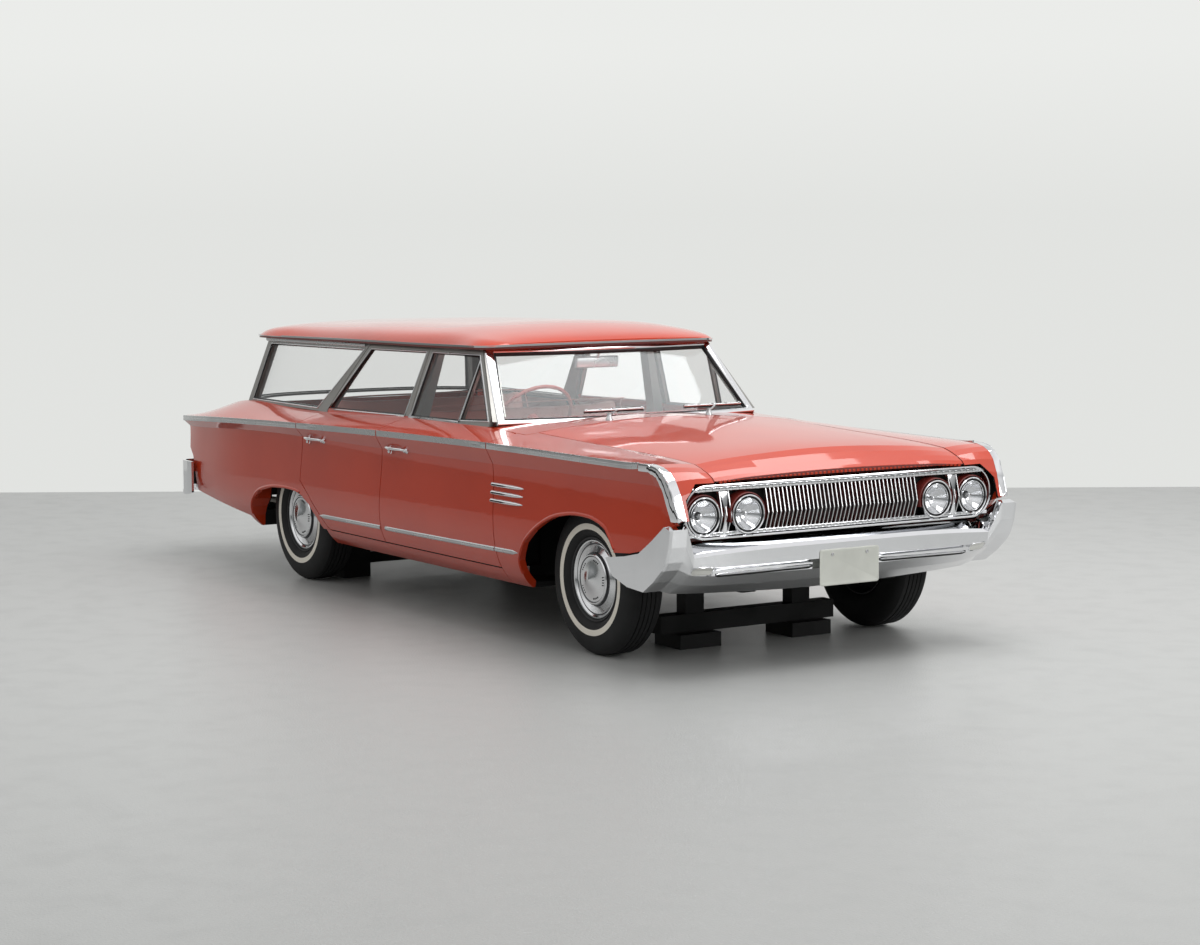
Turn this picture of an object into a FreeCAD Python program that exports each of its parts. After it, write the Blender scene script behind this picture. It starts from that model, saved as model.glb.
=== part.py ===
import FreeCAD, Part
import math
import os

# Frame: +X to the front of the car, +Y to its left, +Z up, origin on the floor under the middle.

# Overall sizes, mm
overallLength = 4872.0
# Stations along the car are written between these two tips, and stretch with the overall length
noseTipX = 2436.0
tailX = -2436.0
stretch = overallLength / (noseTipX - tailX)
bodyHalfWidth = 907.0
wheelBase = 2781.0
frontAxleX = 1679.0
rearAxleX = frontAxleX - wheelBase
wheelTrack = 1406.0
wheelY = wheelTrack / 2.0


def V(x, y, z):
    """Point or direction whose station along the car follows the overall length."""
    return FreeCAD.Vector(x * stretch, y, z)



# Tyres and wheels
tyreRadius = 322.0
tyreHalfWidth = 90.0
treadHalfWidth = 62.0
tyreFacets = 60
rimRadius = 178.0
rimHalfWidth = 70.0
coverRadius = 168.0
coverRimOut = 62.0
coverConeOut = 41.0
coverRingRadius = 104.0
hubRadius = 48.0
spindleRadius = 17.0
runningGap = 0.3
drumRadius = 122.0
drumWidth = 52.0
axleZ = tyreRadius

# Panels, gaps and walls
panelWall = 22.0
shutGap = 5.0
bladeHeight = 24.0
bandInset = 31.0
frameWall = 22.0
glassWall = 6.0
glassInset = 9.0
pillarWall = 40.0

# Body lines along the car: x, blade half width, blade top, undercut edge, shoulder inner y and z, crease z, centre z
bodyLines = [
    (-2440.0, 846.0, 756.0, 703.0, 690.0, 757.0, 757.0, 757.0),
    (-2300.0, 866.0, 763.0, 706.0, 700.0, 781.0, 784.0, 785.0),
    (-2120.0, 880.0, 771.0, 712.0, 716.0, 826.0, 832.0, 836.0),
    (-1920.0, 892.0, 780.0, 722.0, 732.0, 862.0, 866.0, 868.0),
    (-1340.0, 902.0, 802.0, 744.0, 735.0, 871.0, 875.0, 878.0),
    (-400.0, 907.0, 829.0, 752.0, 735.0, 886.0, 890.0, 893.0),
    (500.0, 907.0, 847.0, 757.0, 735.0, 902.0, 912.0, 918.0),
    (1000.0, 905.0, 854.0, 762.0, 690.0, 893.0, 918.0, 934.0),
    (1500.0, 897.0, 855.0, 766.0, 655.0, 876.0, 906.0, 924.0),
    (1950.0, 884.0, 853.0, 768.0, 645.0, 862.0, 890.0, 904.0),
    (2245.0, 868.0, 851.0, 768.0, 640.0, 843.0, 866.0, 881.0),
]
# From the nose crease forward each line also gives the height of the blade's face
noseLines = [
    (2245.0, 868.0, 851.0, 768.0, 640.0, 843.0, 866.0, 881.0, bladeHeight),
    (2290.0, 864.0, 843.0, 758.0, 640.0, 830.0, 849.0, 860.0, 31.0),
    (2331.0, 860.0, 826.0, 712.0, 640.0, 815.0, 828.0, 836.0, 68.0),
    (2365.0, 857.0, 790.0, 640.0, 640.0, 798.0, 809.0, 815.0, 110.0),
    (2394.0, 852.0, 728.0, 590.0, 640.0, 770.0, 790.0, 798.0, 122.0),
    (2427.0, 846.0, 634.0, 574.0, 640.0, 640.0, 642.0, 644.0, 34.0),
]
creaseY = 400.0
sillHalfWidth = 800.0
sillBottom = 235.0
sideBulge = 14.0
doorBottom = 306.0

# Greenhouse: side glass plane and roof
beltZ = 885.0
beltY = 735.0
railZ = 1232.0
railY = 622.0
screenBaseX = 765.0
screenBaseCentreX = 862.0
screenTopX = 508.0
screenTopCentreX = 572.0
backBaseX = -1800.0
backBaseCentreX = -2100.0
backTopX = -1755.0
backTopCentreX = -1925.0
roofLines = [
    (-1955.0, 560.0, 1212.0, 1222.0),
    (-1860.0, 640.0, 1215.0, 1262.0),
    (-1500.0, 650.0, 1219.0, 1296.0),
    (-800.0, 655.0, 1230.0, 1322.0),
    (-100.0, 655.0, 1238.0, 1335.0),
    (350.0, 652.0, 1244.0, 1324.0),
    (520.0, 642.0, 1246.0, 1290.0),
    (585.0, 560.0, 1250.0, 1264.0),
]
roofWall = 20.0

# Doors: outline corners seen from the side, at the skin
seamBX = -23.0
seamBTopX = 23.0
seamCX = -886.0
seamCTopX = -575.0
seamAX = 1013.0
seamALowX = 1065.0
doorInnerY = 775.0
beltInnerY = 698.0
frameInnerY = 590.0
windowSill = 905.0
ventBarLowX = 465.0
ventBarTopX = 509.0

# Hood and tailgate
hoodRearX = 1072.0
hoodHalfRear = 668.0
hoodHalfFront = 640.0
hoodFrontX = 2381.0
hoodWall = 18.0
cowlHalf = 734.0
tailgateHalf = 640.0
tailgateRearX = -2335.0
tailgateBottomZ = 545.0

# Front end
grilleTopZ = 781.0
grilleBottomZ = 553.0
grilleHalf = 796.0
grilleCorner = 105.0
lampOuterY = 694.0
lampInnerY = 486.0
lampZ = 647.0
lampRadius = 71.0
bezelRadius = 84.0
slatCount = 34
slatWidth = 6.0

# Floor and structure under the shell
floorZ = 262.0
floorWall = 18.0
cargoFloorZ = 500.0
railInnerY = 330.0
railOuterY = 400.0
apronWall = 12.0
nosePanelX = 2318.0
supportX = 2200.0
bumperBackX = 2225.0
hornInnerY = 806.0
rearBumperDepth = 44.0
rearBumperBackX = tailX + rearBumperDepth
plateHoleZ = 458.0
plateSpacing = 178.0
plateHoleRadius = 3.5
crossmemberZ = 240.0
kingpinY = 575.0
kingpinRadius = 14.0
springY = 520.0
springWidth = 60.0

# Steering wheel
steerY = -360.0
steerX = 490.0
steerZ = 900.0
steerLean = 37.7
steerRim = 200.0
steerTube = 10.0
columnRadius = 22.0


def polygon(points):
    """Closed flat wire through the points."""
    return Part.makePolygon([V(*p) for p in points] + [V(*points[0])])


def prismY(outline, y0, y1):
    face = Part.Face(polygon([(x, y0, z) for x, z in outline]))
    return face.extrude(V(0, y1 - y0, 0))


def prismX(outline, x0, x1):
    face = Part.Face(polygon([(x0, y, z) for y, z in outline]))
    return face.extrude(V(x1 - x0, 0, 0))


def prismZ(outline, z0, z1):
    face = Part.Face(polygon([(x, y, z0) for x, y in outline]))
    return face.extrude(V(0, 0, z1 - z0))


def box(x0, x1, y0, y1, z0, z1):
    return Part.makeBox((x1 - x0) * stretch, y1 - y0, z1 - z0, V(x0, y0, z0))


def rod(start, end, radius):
    axis = V(*end) - V(*start)
    return Part.makeCylinder(radius, axis.Length, V(*start), axis)


def mirrored(shape):
    return shape.mirror(V(0, 0, 0), V(0, 1, 0))


def both(shape):
    return Part.makeCompound([shape, mirrored(shape)])


def fused(*shapes):
    result = shapes[0].multiFuse(list(shapes[1:]))
    return result.removeSplitter()


def splineEdge(points):
    curve = Part.BSplineCurve()
    curve.interpolate([V(*p) for p in points])
    return curve.toShape()


def lineEdge(start, end):
    return Part.makeLine(V(*start), V(*end))


def save(name, shape):
    shape.exportStep("parts/" + name + ".step")


def sectionWire(line, inset):
    """One closed cross-section of the lower body."""
    x, bladeY, bladeZ, bandZ, innerY, innerZ, creaseZ, centreZ = line[:8]
    faceHeight = line[8] if len(line) > 8 else bladeHeight
    bladeY = bladeY - inset
    innerY = innerY - inset * 0.3
    bladeZ = bladeZ - inset
    innerZ = innerZ - inset
    creaseZ = creaseZ - inset
    centreZ = centreZ - inset
    bandZ = bandZ - inset * 0.6
    bottom = sillBottom + inset
    sillY = bladeY - (bodyHalfWidth - sillHalfWidth)
    bandY = bladeY - bandInset
    waistZ = bottom + 0.62 * (bandZ - bottom)
    side = [(sillY, bottom), (bladeY - 46.0, bottom + 72.0), (bladeY - bandInset + sideBulge, waistZ), (bandY, bandZ)]
    low = bladeZ - faceHeight
    midY = 0.5 * (bladeY + innerY)
    midZ = 0.5 * (bladeZ + innerZ) + 5.0
    shoulder = [(bladeY, bladeZ), (midY, midZ), (innerY, innerZ)]
    flank = [(innerY, innerZ), (0.5 * (innerY + creaseY), 0.5 * (innerZ + creaseZ) + 3.0), (creaseY, creaseZ)]
    crown = [(creaseY, creaseZ), (creaseY / 2.0, creaseZ + 0.72 * (centreZ - creaseZ)), (0.0, centreZ)]

    def place(points, sign):
        return [(x, sign * y, z) for y, z in points]

    edges = [lineEdge((x, -sillY, bottom), (x, sillY, bottom))]
    edges.append(splineEdge(place(side, 1)))
    edges.append(lineEdge((x, bandY, bandZ), (x, bladeY, low)))
    edges.append(lineEdge((x, bladeY, low), (x, bladeY, bladeZ)))
    edges.append(splineEdge(place(shoulder, 1)))
    edges.append(splineEdge(place(flank, 1)))
    top = place(crown, 1) + place(crown[:2], -1)[::-1]
    edges.append(splineEdge(top))
    edges.append(splineEdge(place(flank, -1)[::-1]))
    edges.append(splineEdge(place(shoulder, -1)[::-1]))
    edges.append(lineEdge((x, -bladeY, bladeZ), (x, -bladeY, low)))
    edges.append(lineEdge((x, -bladeY, low), (x, -bandY, bandZ)))
    edges.append(splineEdge(place(side, -1)[::-1]))
    return Part.Wire(edges)


def lowerBody(inset):
    main = Part.makeLoft([sectionWire(line, inset) for line in bodyLines], True, False)
    nose = Part.makeLoft([sectionWire(line, inset) for line in noseLines], True, True)
    return main.fuse(nose)


def planWire(z, sideY, frontX, frontCentreX, rearX, rearCentreX, inset):
    """One level cut through the greenhouse."""
    y = sideY - inset
    fx = frontX - inset
    fc = frontCentreX - inset
    rx = rearX + inset
    rc = rearCentreX + inset
    front = [(fx, -y, z), (fx + 0.72 * (fc - fx), -0.55 * y, z), (fc, 0.0, z)]
    front = front + [(fx + 0.72 * (fc - fx), 0.55 * y, z), (fx, y, z)]
    rear = [(rx, y, z), (rx + 0.62 * (rc - rx), 0.80 * y, z), (rc, 0.0, z)]
    rear = rear + [(rx + 0.62 * (rc - rx), -0.80 * y, z), (rx, -y, z)]
    midX = 0.5 * (fx + rx)
    left = [(fx, y, z), (midX, y + 8.0, z), (rx, y, z)]
    right = [(rx, -y, z), (midX, -y - 8.0, z), (fx, -y, z)]
    return Part.Wire([splineEdge(front), splineEdge(left), splineEdge(rear), splineEdge(right)])


def lerp(a, b, t):
    return a + (b - a) * t


def greenhouse(inset, bottomZ, topZ):
    """Glass-house solid between two levels, its sides leaning in."""
    wires = []
    for z in (bottomZ, topZ):
        t = (z - beltZ) / (railZ - beltZ)
        sideY = lerp(beltY, railY, t)
        frontX = lerp(screenBaseX + 20.0, screenTopX, t)
        frontCentreX = lerp(screenBaseCentreX + 20.0, screenTopCentreX, t)
        rearX = lerp(backBaseX, backTopX, t)
        rearCentreX = lerp(backBaseCentreX, backTopCentreX, t)
        wires.append(planWire(z, sideY, frontX, frontCentreX, rearX, rearCentreX, inset))
    return Part.makeLoft(wires, True, True)


def roofSection(line, drop, narrow):
    x, edgeY, edgeZ, crownZ = line
    y = edgeY - narrow
    z0 = edgeZ
    top = crownZ - drop
    rise = top - z0
    arch = [(x, y, z0), (x, y * 0.955, z0 + 0.38 * rise), (x, y * 0.84, z0 + 0.68 * rise)]
    arch = arch + [(x, y * 0.5, z0 + 0.92 * rise), (x, 0.0, top)]
    other = [(x, -py, pz) for px, py, pz in arch[:-1]][::-1]
    return Part.Wire([splineEdge(arch + other), lineEdge((x, -y, z0), (x, y, z0))])


def roofSolid(drop, narrow, lines):
    return Part.makeLoft([roofSection(line, drop, narrow) for line in lines], True, False)


def offsetOutline(points, distance):
    """Outline grown by a distance, corner by corner."""
    count = len(points)
    area = 0.0
    for i in range(count):
        x0, z0 = points[i]
        x1, z1 = points[(i + 1) % count]
        area += x0 * z1 - x1 * z0
    side = 1.0 if area > 0 else -1.0
    grown = []
    for i in range(count):
        xp, zp = points[i - 1]
        x0, z0 = points[i]
        xn, zn = points[(i + 1) % count]
        ax, az = x0 - xp, z0 - zp
        bx, bz = xn - x0, zn - z0
        la = math.hypot(ax, az)
        lb = math.hypot(bx, bz)
        nax, naz = side * az / la, -side * ax / la
        nbx, nbz = side * bz / lb, -side * bx / lb
        k = distance / (1.0 + nax * nbx + naz * nbz)
        grown.append((x0 + k * (nax + nbx), z0 + k * (naz + nbz)))
    return grown


def leaningPrism(outline, slopes, outerY, innerY):
    """Side outline carried inward, each corner drifting forward by its own slope."""
    outer = [(x + s * (y - outerY), outerY, z) for (x, z), (y, s) in zip(outline, slopes)]
    inner = [(x + s * (y - innerY), innerY, z) for (x, z), (y, s) in zip(outline, slopes)]
    return Part.makeLoft([polygon(outer), polygon(inner)], True, True)


os.makedirs("parts", exist_ok=True)

# Master solids
outerBody = lowerBody(0.0)
innerBody = lowerBody(panelWall)

# Side silhouette of the lower body: rear end, underside and front end
rearEnd = [(-2409.0, 765.0), (-2409.0, 750.0), (-2378.0, 691.0), (-2358.0, 588.0), (-2298.0, 548.0)]
rearEnd = rearEnd + [(-2258.0, 480.0), (-2237.0, 362.0), (-1570.0, 286.0), (-1540.0, 200.0)]
frontEnd = [(1975.0, 200.0), (1975.0, 474.0), (2100.0, 484.0), (2205.0, 506.0), (2300.0, 566.0), (2392.0, 636.0)]
frontEnd = frontEnd + [(2426.0, 641.0), (2426.0, 960.0)]
silhouette = [(-2409.0, 960.0)] + rearEnd + frontEnd
bodyBlank = outerBody.common(prismY(silhouette, -1000.0, 1000.0))

# Wheel openings
frontArch = [(1215.0, 200.0), (1219.0, 238.0), (1246.0, 363.0), (1302.0, 445.0), (1382.0, 507.0), (1460.0, 549.0)]
frontArch = frontArch + [(1539.0, 578.0), (1651.0, 597.0), (1730.0, 600.0), (1808.0, 596.0), (1870.0, 582.0)]
frontArch = frontArch + [(1923.0, 558.0), (1983.0, 486.0), (2025.0, 390.0), (2045.0, 200.0)]
rearArch = [(-1532.0, 200.0), (-1526.0, 291.0), (-1500.0, 341.0), (-1461.0, 384.0), (-1373.0, 436.0)]
rearArch = rearArch + [(-1216.0, 468.0), (-1052.0, 476.0), (-940.0, 472.0), (-868.0, 458.0), (-790.0, 420.0)]
rearArch = rearArch + [(-725.0, 362.0), (-680.0, 300.0), (-648.0, 200.0)]
frontArchCut = prismY(frontArch, 560.0, 1000.0)
rearArchCut = prismY(rearArch, 600.0, 1000.0)

# Cabin void: everything inside the door and quarter inner faces
innerHalf = [(doorInnerY, 700.0), (beltInnerY, 872.0), (beltInnerY - 8.0, 1000.0)]
innerOther = [(-y, z) for y, z in innerHalf[::-1]]
cabinOutline = [(-doorInnerY, 318.0), (doorInnerY, 318.0)] + innerHalf + innerOther
doorOutline = [(-doorInnerY, 150.0), (doorInnerY, 150.0)] + innerHalf + innerOther
doorVoid = prismX(doorOutline, -1780.0, 1200.0)
cabinVoid = prismX(cabinOutline, -1780.0, 1000.0)
rearVoid = box(-2240.0, -1780.0, -tailgateHalf - shutGap, tailgateHalf + shutGap, 318.0, 1000.0)

# Doors
doorShell = outerBody.cut(doorVoid)
frameShell = greenhouse(0.0, 860.0, 1300.0).cut(greenhouse(frameWall, 850.0, 1310.0))
frontDoorLine = [
    (seamBX + shutGap / 2.0, doorBottom + shutGap), (seamBX + shutGap / 2.0, beltZ),
    (seamBTopX + shutGap / 2.0, railZ - shutGap), (screenTopX - 8.0, railZ - shutGap),
    (screenBaseX - 12.0, 917.0), (seamAX - shutGap / 2.0, 880.0), (seamAX - shutGap / 2.0, 800.0),
    (seamALowX - shutGap / 2.0, doorBottom + shutGap),
]
frontDoorSlope = [(905.0, 0.10), (905.0, 0.13), (620.0, 0.32), (620.0, 0.0), (735.0, 0.0), (905.0, 0.0),
                  (905.0, 0.0), (905.0, 0.0)]
rearDoorLine = [
    (-612.0, doorBottom + shutGap), (-690.0, 388.0), (-790.0, 470.0), (seamCX + shutGap / 2.0, 532.0),
    (seamCX + shutGap / 2.0, beltZ - 5.0), (seamCTopX + shutGap / 2.0, railZ - 8.0 - shutGap),
    (seamBTopX - shutGap / 2.0, railZ - shutGap), (seamBX - shutGap / 2.0, beltZ),
    (seamBX - shutGap / 2.0, doorBottom + shutGap),
]
rearDoorSlope = [(905.0, 0.14), (905.0, 0.14), (905.0, 0.14), (905.0, 0.14), (905.0, 0.22), (620.0, 0.55),
                 (620.0, 0.32), (905.0, 0.13), (905.0, 0.10)]
frontDoorPrism = leaningPrism(frontDoorLine, frontDoorSlope, 1000.0, 560.0)
rearDoorPrism = leaningPrism(rearDoorLine, rearDoorSlope, 1000.0, 560.0)
frontDoorHole = leaningPrism(offsetOutline(frontDoorLine, shutGap), frontDoorSlope, 1000.0, 560.0)
rearDoorHole = leaningPrism(offsetOutline(rearDoorLine, shutGap), rearDoorSlope, 1000.0, 560.0)

frontPane = [(seamBX + 34.0, windowSill - 2.0), (seamBTopX + 32.0, 1198.0), (ventBarTopX - 18.0, 1203.0),
             (ventBarTopX - 9.0, 1188.0), (ventBarLowX - 8.0, windowSill + 4.0)]
ventPane = [(ventBarLowX + 10.0, windowSill + 9.0), (ventBarTopX + 4.0, 1170.0), (712.0, windowSill + 21.0)]
rearPane = [(-838.0, windowSill - 16.0), (-565.0, 1190.0), (seamBTopX - 32.0, 1198.0), (seamBX - 34.0, windowSill - 2.0)]
quarterPane = [(-1742.0, 888.0), (-1708.0, 1172.0), (-650.0, 1184.0), (-972.0, 886.0)]
cowlSide = box(740.0 - shutGap, 1200.0, 0.0, cowlHalf + shutGap, 780.0, 1000.0)


def doorSolid(prism, panes):
    lower = doorShell.common(prism).common(box(-2000.0, 2000.0, 640.0, 1000.0, 0.0, 1000.0))
    upper = frameShell.common(prism).common(box(-2000.0, 2000.0, frameInnerY, 1000.0, 868.0, 1300.0))
    for pane in panes:
        upper = upper.cut(prismY(pane, 400.0, 1000.0))
    return fused(lower, upper).cut(cowlSide)


def paneSolid(pane, lap):
    slab = greenhouse(glassInset, 860.0, 1290.0).cut(greenhouse(glassInset + glassWall, 850.0, 1300.0))
    return slab.common(prismY(offsetOutline(pane, lap), 400.0, 1000.0))


frontDoor = doorSolid(frontDoorPrism, [frontPane, ventPane])
rearDoor = doorSolid(rearDoorPrism, [rearPane])
frontGlass = Part.makeCompound([paneSolid(frontPane, -runningGap), paneSolid(ventPane, -runningGap)])
rearGlass = paneSolid(rearPane, -runningGap)
save("door_front_left", frontDoor)
save("door_front_right", mirrored(frontDoor))
save("door_rear_left", rearDoor)
save("door_rear_right", mirrored(rearDoor))
save("glass_front_left", frontGlass)
save("glass_front_right", mirrored(frontGlass))
save("glass_rear_left", rearGlass)
save("glass_rear_right", mirrored(rearGlass))

# Hood
hoodLine = [(hoodRearX, -hoodHalfRear), (hoodFrontX + 60.0, -hoodHalfFront), (hoodFrontX + 60.0, hoodHalfFront),
            (hoodRearX, hoodHalfRear)]
hoodPrism = prismZ(hoodLine, 786.0, 1000.0)
hoodHole = prismZ(offsetOutline(hoodLine, shutGap), 500.0, 1000.0)
hoodBlank = outerBody.cut(lowerBody(hoodWall))
hood = hoodBlank.common(hoodPrism).common(box(0.0, hoodFrontX, -700.0, 700.0, 786.0, 1000.0))
save("hood", hood)

# Front fenders
fenderShell = bodyBlank.cut(innerBody)
fenderKeep = box(seamAX - 40.0, 2430.0, 600.0, 1000.0, 200.0, 960.0)
sillCut = box(-700.0, seamALowX + 3.0, 0.0, 1000.0, 0.0, doorBottom)
fender = fenderShell.common(fenderKeep).cut(frontDoorHole).cut(hoodHole).cut(frontArchCut).cut(sillCut)
fender = fender.cut(box(740.0, hoodRearX, 0.0, cowlHalf + shutGap, 700.0, 1000.0))
lampHole = prismX([(0.0, grilleBottomZ - 60.0), (grilleHalf, grilleBottomZ - 60.0), (grilleHalf, grilleTopZ - 60.0),
                   (grilleHalf - 60.0, grilleTopZ), (0.0, grilleTopZ)], 2300.0, 2500.0)
fender = fender.cut(lampHole)
save("fender_left", fender)
save("fender_right", mirrored(fender))

# Cowl between hood and windscreen
cowl = hoodBlank.common(box(740.0, hoodRearX - shutGap, -cowlHalf, cowlHalf, 780.0, 1000.0))
cowl = cowl.cut(greenhouse(0.0, 850.0, 1300.0))
firewall = box(1000.0, 1030.0, -640.0, 640.0, 300.0, 892.0).common(outerBody)
firewall = firewall.cut(box(990.0, 1040.0, -125.0, 125.0, 290.0, 405.0))
postSide = doorInnerY - shutGap
hingePost = prismX([(600.0, doorBottom), (postSide, doorBottom), (postSide, 695.0), (beltInnerY - shutGap, 866.0),
                    (beltInnerY - shutGap, 884.0), (600.0, 884.0)], 905.0, 1010.0).common(outerBody)
hingeLeaves = [box(930.0, 1005.0, postSide - 10.0, doorInnerY - runningGap, z, z + 60.0) for z in (390.0, 620.0)]
postParts = [hingePost] + hingeLeaves
cowl = fused(*([cowl, firewall] + postParts + [mirrored(part) for part in postParts]))
save("cowl", cowl)

# Rear quarter panels
quarterKeep = box(-2440.0, -560.0, 600.0, 1000.0, 200.0, 960.0)
wheelWell = rod((rearAxleX, 560.0, axleZ), (rearAxleX, 868.0, axleZ), tyreRadius + 40.0)
lampPocket = box(-2440.0, -2340.0, 690.0, 800.0, 606.0, 716.0)
tailLamp = bodyBlank.common(box(-2440.0, -2340.3, 690.3, 799.7, 606.3, 715.7))
quarter = bodyBlank.cut(cabinVoid).cut(rearVoid).common(quarterKeep).cut(rearDoorHole).cut(rearArchCut)
quarter = quarter.cut(wheelWell).cut(sillCut).cut(lampPocket)
quarter = quarter.cut(box(-2500.0, -2230.0, 0.0, tailgateHalf + shutGap, 0.0, 1000.0))
save("quarter_left", quarter)
save("quarter_right", mirrored(quarter))

# Roof with its pillars
roofOuter = roofSolid(0.0, 0.0, roofLines)
roofInnerLines = roofLines[1:-1]
roofInner = roofSolid(roofWall, 45.0, roofInnerLines).translate(V(0, 0, -2.0))
roofPanel = roofOuter.cut(roofInner)
pillarShell = greenhouse(0.0, 868.0, 1270.0).cut(greenhouse(pillarWall, 850.0, 1300.0))
sideCut = [frontDoorHole, rearDoorHole, mirrored(frontDoorHole), mirrored(rearDoorHole)]
pillars = pillarShell
for cut in sideCut:
    pillars = pillars.cut(cut)
pillars = pillars.cut(prismY(quarterPane, -1000.0, 1000.0))
screenLine = [(-668.0, 925.0), (668.0, 925.0), (582.0, 1216.0), (-582.0, 1216.0)]
backLine = [(-652.0, 880.0), (652.0, 880.0), (580.0, 1196.0), (-580.0, 1196.0)]
screenOpening = prismX(screenLine, 400.0, 1000.0)
backOpening = prismX(backLine, -2300.0, -1700.0)
pillars = pillars.cut(screenOpening).cut(backOpening)
roofSeat = []
for x, edgeY, edgeZ, crownZ in roofLines:
    low = edgeZ - 2.0 * runningGap
    roofSeat.append(polygon([(x, -800.0, low), (x, 800.0, low), (x, 800.0, 1500.0), (x, -800.0, 1500.0)]))
pillars = pillars.cut(outerBody).cut(Part.makeLoft(roofSeat, True, False))
save("roof", roofPanel)
save("pillars", pillars)
print("roof solids", len(roofPanel.Solids), "pillar solids", len(pillars.Solids))

screenSlab = greenhouse(glassInset, 860.0, 1240.0).cut(greenhouse(glassInset + glassWall, 850.0, 1300.0))
windscreen = screenSlab.common(prismX(offsetOutline(screenLine, -runningGap), 400.0, 1000.0))
backGlass = screenSlab.common(prismX(offsetOutline(backLine, -runningGap), -2300.0, -1700.0))
quarterGlass = both(paneSolid(quarterPane, -runningGap))
save("windscreen", windscreen)
save("tailgate_glass", backGlass)
save("quarter_glass", quarterGlass)


# Tailgate: a wedge from the glass line down to the sill, hinged at its lower rear edge
tailgateKeep = box(tailgateRearX, -1700.0, -tailgateHalf, tailgateHalf, tailgateBottomZ, 1000.0)
tailgate = outerBody.common(tailgateKeep).cut(greenhouse(-shutGap, 500.0, 1010.0))
save("tailgate", tailgate)
save("tail_lamps", both(tailLamp))


def roundedPlate(half, low, high, corner, x0, x1):
    """Plate across the car with rounded ends."""
    middle = box(x0, x1, -half, half, low + corner, high - corner)
    wide = box(x0, x1, -half + corner, half - corner, low, high)
    parts = [middle, wide]
    for y in (-half + corner, half - corner):
        for z in (low + corner, high - corner):
            parts.append(rod((x0, y, z), (x1, y, z), corner))
    return fused(*parts)


hoodUnder = lowerBody(hoodWall + runningGap)

# Underbody: sills, floor, tunnel, rails, wheelhouses, inner wings and radiator support
rocker = outerBody.common(box(-652.0, seamALowX, 640.0, 1000.0, sillBottom, doorBottom - runningGap))
floorPan = box(-640.0, 1000.0, -650.0, 650.0, floorZ, floorZ + floorWall)
tunnelOuter = prismX([(-150.0, floorZ), (-120.0, 390.0), (120.0, 390.0), (150.0, floorZ)], -640.0, 1000.0)
tunnelInner = prismX([(-138.0, floorZ - 1.0), (-110.0, 378.0), (110.0, 378.0), (138.0, floorZ - 1.0)], -660.0, 1001.0)
riser = box(-640.0, -622.0, -600.0, 600.0, floorZ, cargoFloorZ + floorWall)
riserBackX = -640.0 - runningGap
wellFloor = box(-2228.0, riserBackX, -584.0, 584.0, cargoFloorZ, cargoFloorZ + floorWall)
rearFloor = box(-2228.0, -1540.0, -640.0, 640.0, cargoFloorZ, cargoFloorZ + floorWall)
tailSill = tailgateBottomZ - shutGap
tailPanel = box(-2330.0, -2318.0, -638.0, 638.0, 340.0, tailSill).cut(box(-2400.0, -2300.0, -570.0, 570.0, 300.0, 410.0))
tailPanel = tailPanel.fuse(box(-2330.0, -2220.0, -638.0, 638.0, cargoFloorZ, tailSill))
gateLeaf = box(-2325.0, -2285.0, 480.0, 560.0, tailSill - 10.0, tailgateBottomZ - runningGap)
hoodStop = box(2120.0, 2150.0, 590.0, 620.0, 764.0, 960.0).common(hoodUnder)
house = rod((rearAxleX, 582.0, axleZ), (rearAxleX, doorInnerY - runningGap, axleZ), tyreRadius + 56.0)
house = house.cut(rod((rearAxleX, 598.0, axleZ), (rearAxleX, 900.0, axleZ), tyreRadius + 40.0))
house = house.cut(box(-3000.0, 0.0, 0.0, 1000.0, -100.0, 400.0))
rearRail = box(rearBumperBackX + runningGap, riserBackX, 490.0, 560.0, 420.0, cargoFloorZ + 2.0)
frontEye = box(-662.0 + runningGap, -636.0, 490.0, 550.0, 285.0, 340.0)
rearShackle = box(-1800.0, -1770.0, 490.0, 550.0, 350.0, 430.0)
outrigger = box(700.0, 1030.0, railInnerY, railOuterY, 240.0, 300.0 - runningGap)
outrigger = outrigger.fuse(box(940.0, 1000.0, railInnerY, 700.0, 240.0, 300.0 - runningGap))
frontRail = box(1030.0 + runningGap, bumperBackX - runningGap, railInnerY, railOuterY, 300.0, 380.0)
frontRail = frontRail.fuse(box(1030.0 + runningGap, 1070.0, railInnerY, railOuterY, 240.0, 310.0))
apron = box(1030.0 + runningGap, supportX + 2.0, railOuterY - apronWall, railOuterY, 340.0, 770.0)
apronTop = box(1030.0 + runningGap, supportX + 2.0, railOuterY - apronWall, 690.0, 758.0, 770.0)
wingRiser = box(1100.0, supportX, 678.0, 690.0, 764.0, 960.0).common(innerBody.translated(V(0.0, 0.0, -runningGap)))
support = box(supportX, supportX + 12.0, -800.0, 800.0, 500.0, 770.0).common(innerBody)
support = support.fuse(box(supportX, supportX + 12.0, -railOuterY, railOuterY, 320.0, 520.0))
support = support.cut(box(supportX - 5.0, supportX + 20.0, -280.0, 280.0, 380.0, 720.0))
postLow = [(-60.0, 640.0), (10.0, 640.0), (10.0, postSide), (-60.0, postSide)]
postBelt = [(-60.0, 640.0), (10.0, 640.0), (10.0, beltInnerY - shutGap), (-60.0, beltInnerY - shutGap)]
postLeaves = [box(-58.0, -30.0, postSide - 10.0, doorInnerY - runningGap, z, z + 60.0) for z in (390.0, 620.0)]
postTop = [(-12.0, 562.0), (54.0, 562.0), (54.0, 594.0), (-12.0, 594.0)]


def levelWire(outline, z):
    return polygon([(x, y, z) for x, y in outline])


postLevels = [levelWire(postLow, doorBottom), levelWire(postLow, 690.0), levelWire(postBelt, 860.0)]
postFoot = Part.makeLoft(postLevels + [levelWire(postBelt, beltZ)], True, True)
postHead = Part.makeLoft([levelWire(postBelt, beltZ), levelWire(postTop, railZ - 0.8)], True, True)


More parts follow.
